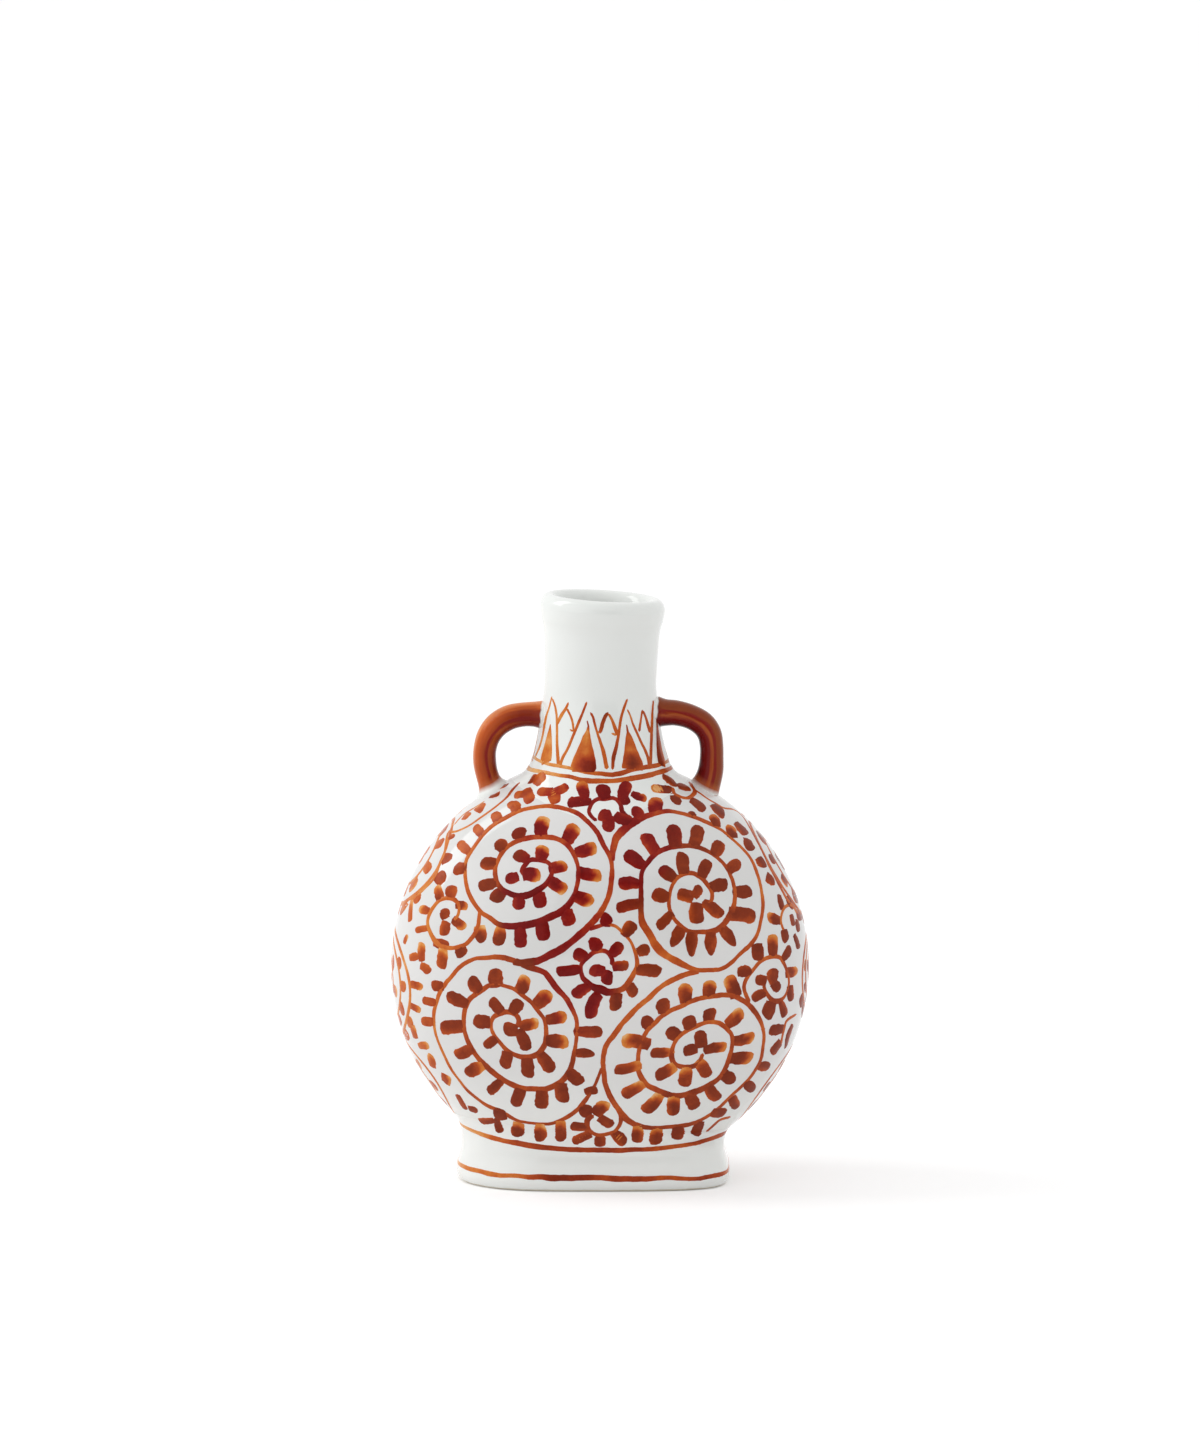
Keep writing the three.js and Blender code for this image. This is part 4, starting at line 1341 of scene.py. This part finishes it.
frontMotifs = [topLeftScroll, topRightScroll, bottomLeftScroll, bottomRightScroll, middleScroll,
               topMotif, shoulderMotif, leftScroll, rightScroll, bottomMotif]
lineKinds = ("line", "vine", "twig", "curl")
dabKinds = {
    "dabs": {},
    "pointed": {"point": True},
    "tipFade": {"fade": "tip"},
    "rootFade": {"fade": "root"},
    "glareWash": {"fade": "glareWash"},
    "long": {"swing": 0.12},
}


def paintScrolls(name, lay, seed):
    paint = Paint(name, lay, pixel, seed, frontRed)
    for motif in frontMotifs:
        for kind in lineKinds:
            if kind in motif:
                paint.line(motif[kind])
        for kind, manner in dabKinds.items():
            for dab in motif.get(kind, []):
                paint.dab(*dab, **manner)
    return paint.finish()


frontScrolls = paintScrolls("frontScrolls", onFront, brush["seed"])
backScrolls = paintScrolls("backScrolls", onBack, brush["seed"] + 1)
print("front and back painted:", len(frontScrolls.data.polygons), "faces each")

# the flanks: scrolls stacked along the seam, in millimetres across the seam and along it

flankShape = {
    # each oval's degrees up the side, half height and half width
    "left": [(33, 11.0, 11.8), (-4, 10.8, 12.0), (-32, 9.9, 10.3)],
    "right": [(31, 11.6, 9.2), (-1, 7.4, 7.7), (-34, 10.5, 8.6)],
    "turns": 2.35,
    "tighten": 0.38,
    "tightenFrom": 0.55,
    "points": 64,
    "lineWidth": 0.95,
    "linePigment": 0.46,
    "lineStep": 0.6,
    "dabsFrom": 1.08,
    "walkStep": 0.004,
    "dabGap": 4.4,
    "dabLength": 3.4,
    "dabLeast": 1.2,
    "dabRoom": 0.66,  # of the way to the next line outwards
    "dabWidth": 2.4,
    "dabDark": 0.8,
    "fadeChance": 0.35,
    "outerTurns": (0.36, 0.43, 0.5, 0.57, 0.64),
    "outerDab": (0.2, 2.3),
    "heartTurns": (0.1, 0.42, 0.75),
    "heartLength": 2.4,
    "heartWidth": 2.2,
    "heartDark": 0.82,
    "redness": 0.1,
    "castFrom": 0.08,
    "seeds": {"left": 21, "right": 22},
}


def onFlank(outSide):
    def lay(across, along):
        angle = along * mm / bodyShape["radius"]
        out = Vector((outSide * math.cos(angle), 0, math.sin(angle)))
        middle = Vector((0, across * mm, bodyShape["centre"]))
        return landing(middle + out * flankShape["castFrom"], -out)
    return lay


def paintFlank(name, side, outSide):
    shape = flankShape
    ovals = shape[side]
    paint = Paint(name, onFlank(outSide), mm, shape["seeds"][side], lambda x, y: shape["redness"])
    for number, (degrees, halfHeight, halfWidth) in enumerate(ovals):
        middle = math.radians(degrees) * bodyShape["radius"] / mm
        spin = 1 if number % 2 else -1

        def at(turn, grow=0.0):
            size = 1 - shape["tighten"] * max(0.0, turn - shape["tightenFrom"])
            angle = math.pi / 2 + spin * turn * 2 * math.pi
            x = (halfWidth * size + grow) * math.cos(angle)
            return x, middle + (halfHeight * size + grow) * math.sin(angle)

        count = shape["points"]
        points = [at(shape["turns"] * i / count) for i in range(count + 1)]
        paint.line(points, shape["lineWidth"], shape["linePigment"], shape["lineStep"])
        turn = shape["dabsFrom"]
        walked, last = 0.0, at(turn)
        while turn < shape["turns"]:
            turn += shape["walkStep"]
            spot = at(turn)
            walked += math.dist(last, spot)
            last = spot
            if walked > shape["dabGap"]:
                walked = 0.0
                room = math.dist(spot, at(turn - 1)) * shape["dabRoom"]
                tip = at(turn, max(shape["dabLeast"], min(shape["dabLength"], room)))
                fade = "tip" if paint.chance.random() < shape["fadeChance"] else None
                paint.dab(*spot, *tip, shape["dabWidth"], fade, shape["dabDark"])
        # short dabs outside the loop, where the next scroll leaves room
        inner, outer = shape["outerDab"]
        for turn in shape["outerTurns"] if number < len(ovals) - 1 else ():
            paint.dab(*at(turn, inner), *at(turn, outer), shape["dabWidth"], None, shape["dabDark"])
        for turn in shape["heartTurns"]:
            angle = 2 * math.pi * turn
            tip = shape["heartLength"] * math.cos(angle), middle + shape["heartLength"] * math.sin(angle)
            paint.dab(0, middle, *tip, shape["heartWidth"], None, shape["heartDark"])
    return paint.finish()


leftFlank = paintFlank("leftFlankScrolls", "left", -1)
rightFlank = paintFlank("rightFlankScrolls", "right", 1)
print("flanks painted:", len(leftFlank.data.polygons), "faces")

# neck band: the lappets that the photograph shows, in its pixels, and the ones behind by their angle

lappetLines = [
    [(552, 696, 1.6, 0.5), (549, 708), (546, 717, 3, 0.5), (544, 727), (542, 738, 3, 0.44), (539, 748),
     (535, 757, 3, 0.36)],
    [(552, 698, 2, 0.45), (555, 706), (556.5, 715, 2.6, 0.42), (557, 728), (557, 740, 3, 0.36),
     (557.5, 752), (558.5, 765, 3.5, 0.36)],
    [(556.5, 725, 3, 0.34), (561, 716, 3.6, 0.36), (566, 708, 3, 0.38), (568.5, 702, 1.8, 0.5)],
    [(566.5, 708, 2.4, 0.42), (571, 717), (573, 725, 2.6, 0.44), (573, 731), (569.5, 729, 2, 0.3)],
    [(587, 701.5, 2.4, 0.5), (583, 712), (578, 724, 2.8, 0.44), (573, 736), (568, 748, 3, 0.38),
     (563, 757), (559.5, 766, 3.4, 0.34)],
    [(590, 712, 2.6, 0.6), (593, 717), (595, 725, 2.4, 0.42), (598, 735), (601, 744, 3.4, 0.46),
     (604, 754), (607, 769.5, 5, 0.48)],
    [(598.5, 733, 3, 0.36), (600.5, 731, 3.6, 0.6), (603, 722), (605.5, 716, 3.8, 0.72),
     (608.5, 712, 2.6, 0.75)],
    [(608, 713, 2.4, 0.5), (612, 720), (615, 728, 3.8, 0.44), (618, 736, 3.2, 0.42)],
    [(611, 733, 2, 0.2), (617, 735.5, 2.6, 0.3)],
    [(627.5, 698.5, 2.4, 0.55), (624, 708), (621, 718, 2.8, 0.48), (619.5, 728), (618, 738, 3.2, 0.5),
     (616, 748), (613.5, 758, 4, 0.66), (612.5, 770, 3, 0.6)],
    [(627, 709, 2, 0.5), (630, 715), (633, 724, 2.2, 0.36), (637, 733), (641, 742, 2.6, 0.46), (645, 750),
     (648, 758, 3, 0.5), (650, 768, 4, 0.5)],
    [(639, 732, 3, 0.5), (640.5, 722), (642.5, 709.5, 2, 0.6)],
    [(642.5, 710, 2.4, 0.6), (646, 718), (648.5, 727, 3.2, 0.52), (650.5, 733, 3, 0.5)],
    [(653.5, 700, 2.4, 0.62), (652.5, 712), (652, 725, 3, 0.5), (651.5, 738), (651, 750, 3, 0.48),
     (650.5, 767, 3.4, 0.46)],
    [(655, 707.5, 2, 0.55), (658, 715), (660.5, 722, 2.8, 0.42), (661.5, 730, 2, 0.3)],
]

lappetFills = [
    [(763, 541, 551.5, 0.5, 0.42, 0.3), (758, 540, 551.5, 0.6, 0.5, 0.3),
     (750, 542.5, 551.8, 0.55, 0.5, 0.3), (742, 545, 551.8, 0.3, 0.22, 0.3),
     (734, 547.2, 551.6, 0.4, 0.32, 0.45), (728, 549, 551.2, 0.6, 0.6, 0.6),
     (724.5, 550, 550.8, 0.7, 0.7, 0.7)],
    [(772, 572, 594, 0.24, 0.6, 0.9), (767, 570.5, 596, 0.2, 0.75, 0.98),
     (761, 572.5, 595.5, 0.28, 0.72, 0.98), (753, 576, 594, 0.36, 0.32, 0.5),
     (745, 579.5, 592, 0.4, 0.28, 0.4), (737, 582.5, 590.6, 0.4, 0.22, 0.34),
     (731, 586, 589.6, 0.2, 0.14, 0.4), (726, 587.5, 589.3, 0.7, 0.7, 0.7),
     (721, 586.6, 587.8, 0.7, 0.7, 0.7)],
    [(769.5, 622.5, 643, 0.5, 0.72, 0.48), (764, 622.5, 643.5, 0.55, 0.98, 0.55),
     (758, 623.3, 640.5, 0.55, 0.85, 0.5), (750, 624.5, 637, 0.5, 0.34, 0.46),
     (743, 625, 634.5, 0.5, 0.46, 0.46), (737, 625.5, 632, 0.46, 0.4, 0.46),
     (732, 626.6, 629, 0.5, 0.5, 0.5), (725, 626, 627.2, 0.7, 0.7, 0.7)],
    [(766, 659, 666, 0.98, 0.85, 0.3), (760, 657.7, 665.8, 0.98, 0.85, 0.3),
     (750, 656.5, 663.3, 0.95, 0.75, 0.3), (740, 656, 661.3, 0.9, 0.72, 0.35),
     (730, 655.9, 659.5, 0.85, 0.7, 0.5), (722, 655.8, 658, 0.8, 0.8, 0.7),
     (718, 655.6, 656.6, 0.8, 0.8, 0.8)],
]

neckLineShape = {
    # the pale pigment at the left end of both lines is a painted highlight, where the glare lies on them
    "upper": [(534, 757, 3, 0.2), (540, 761), (550, 764.5, 3.2, 0.14), (560, 766), (570, 768, 3, 0.18),
              (580, 771), (590, 773, 4, 0.46), (600, 773.5), (612, 775, 4.4, 0.56), (622, 773),
              (630, 770.5, 4, 0.5), (640, 768), (650, 766.5, 4, 0.42), (658, 765), (664, 763, 3.4, 0.4)],
    "lower": [(533, 770, 4, 0.2), (546, 772.5), (560, 775.5, 3.4, 0.2), (570, 776.5, 4, 0.6),
              (580, 779.5), (590, 781, 5, 0.56), (600, 781), (612, 781, 4.4, 0.44), (625, 779.5),
              (637, 777.5, 5, 0.52), (648, 775.5), (658, 772.5, 4.4, 0.46), (668, 769.5, 4, 0.5)],
    "unroll": 12.0,  # millimetres of the sheet for each radian
    "ringSteps": 120,
    "redness": 0.1,
    "seed": 32,
}

lappetShape = {
    "redPlace": (580, 600),  # pixels across, where the paint is redder
    "redness": (0.5, 0.05),  # there and elsewhere
    "seed": 31,
    "behind": [109, 148, 186, 225, 263],  # degrees round to the lappets that the photograph doesn't show
    "behindSway": 2,
    "behindRed": 0.1,
    "base": 84.0,
    "halfWidth": 3.7,
    "peak": 97.0,
    "peakSpread": (-0.4, 0.6),
    "tipSpread": (-0.2, 0.5),
    "rightLower": (0.3, 2.0),
    "fillPeak": 93.0,
    "fillSway": 0.5,
    # share of the height, share of the half width, pigments at left, middle and right
    "fill": [(0.0, 0.62, (0.4, 0.8, 0.6)), (0.15, 0.6, (0.4, 0.95, 0.7)), (0.35, 0.42, (0.45, 0.6, 0.45)),
             (0.6, 0.24, (0.4, 0.3, 0.4)), (0.8, 0.12, (0.4, 0.3, 0.4)), (1.0, 0.03, (0.7, 0.7, 0.7))],
    # shares of the half width and of the height up each side, then width and pigment
    "leftSide": [(-1.0, 0.0, 0.8, 0.45), (-0.55, 0.45, 0.65, 0.42)],
    "rightSide": [(1.0, 0.0, 0.9, 0.5), (0.6, 0.42, 0.6, 0.45)],
    "tipBrush": (0.5, 0.5),
    "tipGap": 0.3,
    "between": 19,  # degrees to the small tip beside each
    "heels": [(-1.6, 0.0, 0.7, 0.5), (1.7, -0.3, 0.8, 0.45)],  # its two lower ends, with width and pigment
    "crownBrush": [(0.5, 0.6), (0.5, 0.55)],
    "crown": 95.2,
    "crownSway": 0.5,
    "heel": 91.0,
    "heelSway": 0.3,
    "step": 0.6,
}

ringShape = {
    "castFrom": 0.06,
    "lineScale": 0.235,  # millimetres for a pixel of a line's width
    "mirrored": 1.4,  # radians from the front, within which the back repeats the line
    "wobbles": ((0.06, 5), (0.04, 11)),
}


def roundAxis(around, height, unroll, shift):
    angle = around / unroll
    out = Vector((math.sin(angle), -math.cos(angle), 0))
    return landing(out * ringShape["castFrom"] + Vector((shift, 0, height * mm)), -out)


def onNeck(around, height):
    return roundAxis(around, height, neckLineShape["unroll"], 0)


def onFoot(around, height):
    return roundAxis(around, height, footLineShape["unroll"], footShape["offset"])


def ringFrom(points, shift, unroll, count):
    # a line seen in the photograph, carried on round the back: (around, height, width, pigment)
    brushKeys = [(i, p[2], p[3]) for i, p in enumerate(points) if len(p) == 4]
    known = []
    for i, point in enumerate(points):
        spot = onFront(point[0], point[1])[0]
        before = [key for key in brushKeys if key[0] <= i][-1]
        around = math.atan2(spot.x - shift, -spot.y)
        known.append((around, spot.z / mm, before[1] * ringShape["lineScale"], before[2]))
    first, last = known[0], known[-1]
    mirrored = [spot for spot in reversed(known) if abs(spot[0]) < ringShape["mirrored"]]
    known += [(math.pi - spot[0],) + spot[1:] for spot in mirrored]
    known.append((first[0] + 2 * math.pi,) + first[1:])
    ring = []
    for k in range(count + 1):
        angle = first[0] + 2 * math.pi * k / count
        right = next((i for i, spot in enumerate(known) if spot[0] >= angle - 1e-6), len(known) - 1)
        a, b = known[max(0, right - 1)], known[right]
        t = (angle - a[0]) / (b[0] - a[0]) if b[0] > a[0] else 1.0
        wobble = sum(size * math.sin(beat * angle) for size, beat in ringShape["wobbles"] if angle > last[0])
        height, wide, dark = (a[j] + (b[j] - a[j]) * t for j in (1, 2, 3))
        ring.append((angle * unroll, height + wobble, wide, dark))
    return ring


def lappetRed(across, down):
    left, right = lappetShape["redPlace"]
    return lappetShape["redness"][0 if left < across < right else 1]


def paintNeckBand():
    shape = lappetShape
    paint = Paint("neckLappets", onFront, pixel, shape["seed"], lappetRed)
    for points in lappetLines:
        paint.line(points, seen=True)
    for rows in lappetFills:
        paint.blade(rows, seen=True)
    paint.lay, paint.unit, paint.redness = onNeck, mm, lambda x, y: shape["behindRed"]
    chance, base, half, step = paint.chance, shape["base"], shape["halfWidth"], shape["step"]
    unroll = neckLineShape["unroll"]
    for degrees in shape["behind"]:
        middle = math.radians(degrees + paint.sway(shape["behindSway"])) * unroll
        peak = shape["peak"] + chance.uniform(*shape["peakSpread"])
        tip = middle + chance.uniform(*shape["tipSpread"])
        low = chance.uniform(*shape["rightLower"])
        for side, x, height in (("leftSide", tip, peak), ("rightSide", tip + shape["tipGap"], peak - low)):
            edge = [(middle + half * across, base + (height - base) * up, wide, dark)
                    for across, up, wide, dark in shape[side]]
            paint.line(edge + [(x, height) + shape["tipBrush"]], step=step)
        top = shape["fillPeak"] + paint.sway(shape["fillSway"])
        paint.blade([(base + (top - base) * share, middle - half * wide, middle + half * wide) + loads
                     for share, wide, loads in shape["fill"]])
        between = middle - math.radians(shape["between"]) * unroll
        crown = shape["crown"] + paint.sway(shape["crownSway"])
        heel = shape["heel"] + paint.sway(shape["heelSway"])
        left, right = [(between + across, heel + rise, wide, dark)
                       for across, rise, wide, dark in shape["heels"]]
        upBrush, downBrush = shape["crownBrush"]
        paint.line([left, (between, crown) + upBrush], step=step)
        paint.line([(between, crown) + downBrush, right], step=step)
    return paint.finish()


def paintLines(name, lay, shape, shift):
    paint = Paint(name, lay, mm, shape["seed"], lambda x, y: shape["redness"])
    for key in ("upper", "lower"):
        paint.line(ringFrom(shape[key], shift, shape["unroll"], shape["ringSteps"]), closed=True)
    return paint.finish()


neckLappets = paintNeckBand()
neckLines = paintLines("neckLines", onNeck, neckLineShape, 0.0)
print("neck painted:", len(neckLappets.data.polygons), "faces")

# foot lines

footLineShape = {
    "upper": [(460, 1123, 3.5, 0.2), (468, 1128.5), (477, 1132.5, 4, 0.3), (487, 1136),
              (497, 1139, 4, 0.42), (507, 1141.5), (517, 1143, 5, 0.58), (527, 1145),
              (540, 1147, 4.8, 0.7), (555, 1148.5), (570, 1149.5, 4.4, 0.62), (585, 1150),
              (600, 1150, 4.4, 0.66), (622, 1150.5), (632, 1149.5, 4, 0.64), (645, 1149.5),
              (658, 1148.5, 4.4, 0.6), (670, 1147), (682, 1145.5, 4.4, 0.6), (695, 1143.5),
              (705, 1140.5, 4, 0.6), (712, 1138.5), (718, 1136, 4, 0.6), (723, 1134)],
    "lower": [(458, 1162, 3.5, 0.2), (463, 1166), (470, 1169, 4, 0.36), (480, 1171),
              (490, 1174, 4.4, 0.34), (500, 1175.5), (510, 1175.5, 4.4, 0.4), (520, 1176),
              (530, 1177.5, 5, 0.56), (540, 1176.5), (550, 1178, 5.6, 0.85), (560, 1178),
              (575, 1178, 5, 0.72), (590, 1177.5), (600, 1177.5, 5, 0.62), (615, 1179),
              (630, 1179, 4.8, 0.62), (645, 1179), (660, 1178, 4.4, 0.6), (670, 1177.5),
              (680, 1178.5, 4.4, 0.66), (690, 1179), (700, 1178.5, 4.4, 0.8), (707, 1177),
              (715, 1175.5, 4.4, 0.6), (722, 1174), (726, 1172, 4, 0.5)],
    "unroll": 22.0,
    "ringSteps": 160,
    "redness": 0.2,
    "seed": 41,
}

footLines = paintLines("footLines", onFoot, footLineShape, footShape["offset"])
print("foot painted:", len(footLines.data.polygons), "faces")

# what each piece rides on and stands for

whitePieces = (frontDish, backDish, neck, foot)
redPieces = (leftHandle, rightHandle, frontScrolls, backScrolls, leftFlank, rightFlank, neckLappets,
             neckLines, footLines)
for piece in whitePieces + redPieces:
    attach(piece, "root")
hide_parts("front_dish", "seam_slip")
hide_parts("back_dish")
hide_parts("neck", "neck_slip")
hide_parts("foot_ring", "foot_slip")
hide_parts("left_handle", "left_handle_neck_slip", "left_handle_shoulder_slip")
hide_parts("right_handle", "right_handle_neck_slip", "right_handle_shoulder_slip")
print("pieces ride on the frame")

# floor, cards and light

studio = {
    "floorSize": 14.0,
    "floorWhite": 0.91,
    "floorGlow": 0.19,
    "sky": 0.9,
    "keyPlace": (-0.72, 0.10, 0.66),
    "keySize": (0.35, 0.6),
    "keyPower": 2.0,
    "panelPlace": (-1.15, -0.95, 0.55),
    "panelSize": (1.3, 1.1),
    "panelPower": 1.7,
    "cardWidth": 2.6,
    "cardMiddle": 0.6,
    "cardGap": 2.7,
    "cardTop": 1.6,
    "cardGrey": 0.3,
    "aimHeight": 0.06,
}


def seenDirectly(tree):
    # camera, glossy and transmission rays meet the white background itself
    path = tree.nodes.new("ShaderNodeLightPath")
    seen = reckon(tree, "MAXIMUM", path.outputs["Is Camera Ray"], path.outputs["Is Glossy Ray"])
    return reckon(tree, "MAXIMUM", seen, path.outputs["Is Transmission Ray"])


def makeFloor():
    clearSelection()
    bpy.ops.mesh.primitive_plane_add(size=studio["floorSize"])
    floor = bpy.context.object
    floor.name = "floor"
    material = bpy.data.materials.new("paleFloor")
    material.use_nodes = True
    tree = material.node_tree
    tree.nodes.clear()
    white = (studio["floorWhite"],) * 3 + (1.0,)
    matte = addNode(tree, "ShaderNodeBsdfDiffuse", Color=white)
    glow = addNode(tree, "ShaderNodeEmission", Color=(1, 1, 1, 1))
    shine = reckon(tree, "MULTIPLY", seenDirectly(tree), studio["floorGlow"])
    tree.links.new(shine, glow.inputs["Strength"])
    total = tree.nodes.new("ShaderNodeAddShader")
    tree.links.new(matte.outputs["BSDF"], total.inputs[0])
    tree.links.new(glow.outputs["Emission"], total.inputs[1])
    out = tree.nodes.new("ShaderNodeOutputMaterial")
    tree.links.new(total.outputs["Shader"], out.inputs["Surface"])
    floor.data.materials.append(material)


def makeCard():
    # a dark card behind the camera, as a photographer stands one to keep a glossy front calm
    clearSelection()
    bpy.ops.mesh.primitive_plane_add(size=1.0)
    card = bpy.context.object
    card.name = "darkCard"
    bpy.ops.object.mode_set(mode="EDIT")
    bpy.ops.mesh.select_all(action="SELECT")
    bpy.ops.transform.resize(value=(studio["cardWidth"], studio["cardTop"], 1))
    bpy.ops.transform.rotate(value=math.pi / 2, orient_axis="X", center_override=(0, 0, 0))
    bpy.ops.transform.translate(value=(studio["cardMiddle"], -studio["cardGap"], studio["cardTop"] / 2))
    bpy.ops.object.mode_set(mode="OBJECT")
    material, tree, shader = newMaterial("darkCloth")
    shader.inputs["Base Color"].default_value = (studio["cardGrey"],) * 3 + (1.0,)
    shader.inputs["Roughness"].default_value = 1.0
    card.data.materials.append(material)
    card.visible_camera = False


def addSoftbox(name, place, width, height, power):
    place = Vector(place)
    aim = Vector((0, 0, studio["aimHeight"])) - place
    bpy.ops.object.light_add(type="AREA", location=place, rotation=aim.to_track_quat("-Z", "Y").to_euler())
    softbox = bpy.context.object
    softbox.name = name
    softbox.data.shape = "RECTANGLE"
    softbox.data.size = width
    softbox.data.size_y = height
    softbox.data.energy = power


def makeLight():
    world = bpy.data.worlds.new("studio")
    bpy.context.scene.world = world
    world.use_nodes = True
    tree = world.node_tree
    background = tree.nodes["Background"]
    background.inputs["Color"].default_value = (1, 1, 1, 1)
    strength = spread(tree, seenDirectly(tree), 0.0, 1.0, studio["sky"], 1.0)
    tree.links.new(strength, background.inputs["Strength"])
    addSoftbox("keySoftbox", studio["keyPlace"], *studio["keySize"], studio["keyPower"])
    addSoftbox("widePanel", studio["panelPlace"], *studio["panelSize"], studio["panelPower"])
    bpy.context.scene.view_settings.view_transform = "Standard"


makeFloor()
makeCard()
makeLight()
print("studio lit")
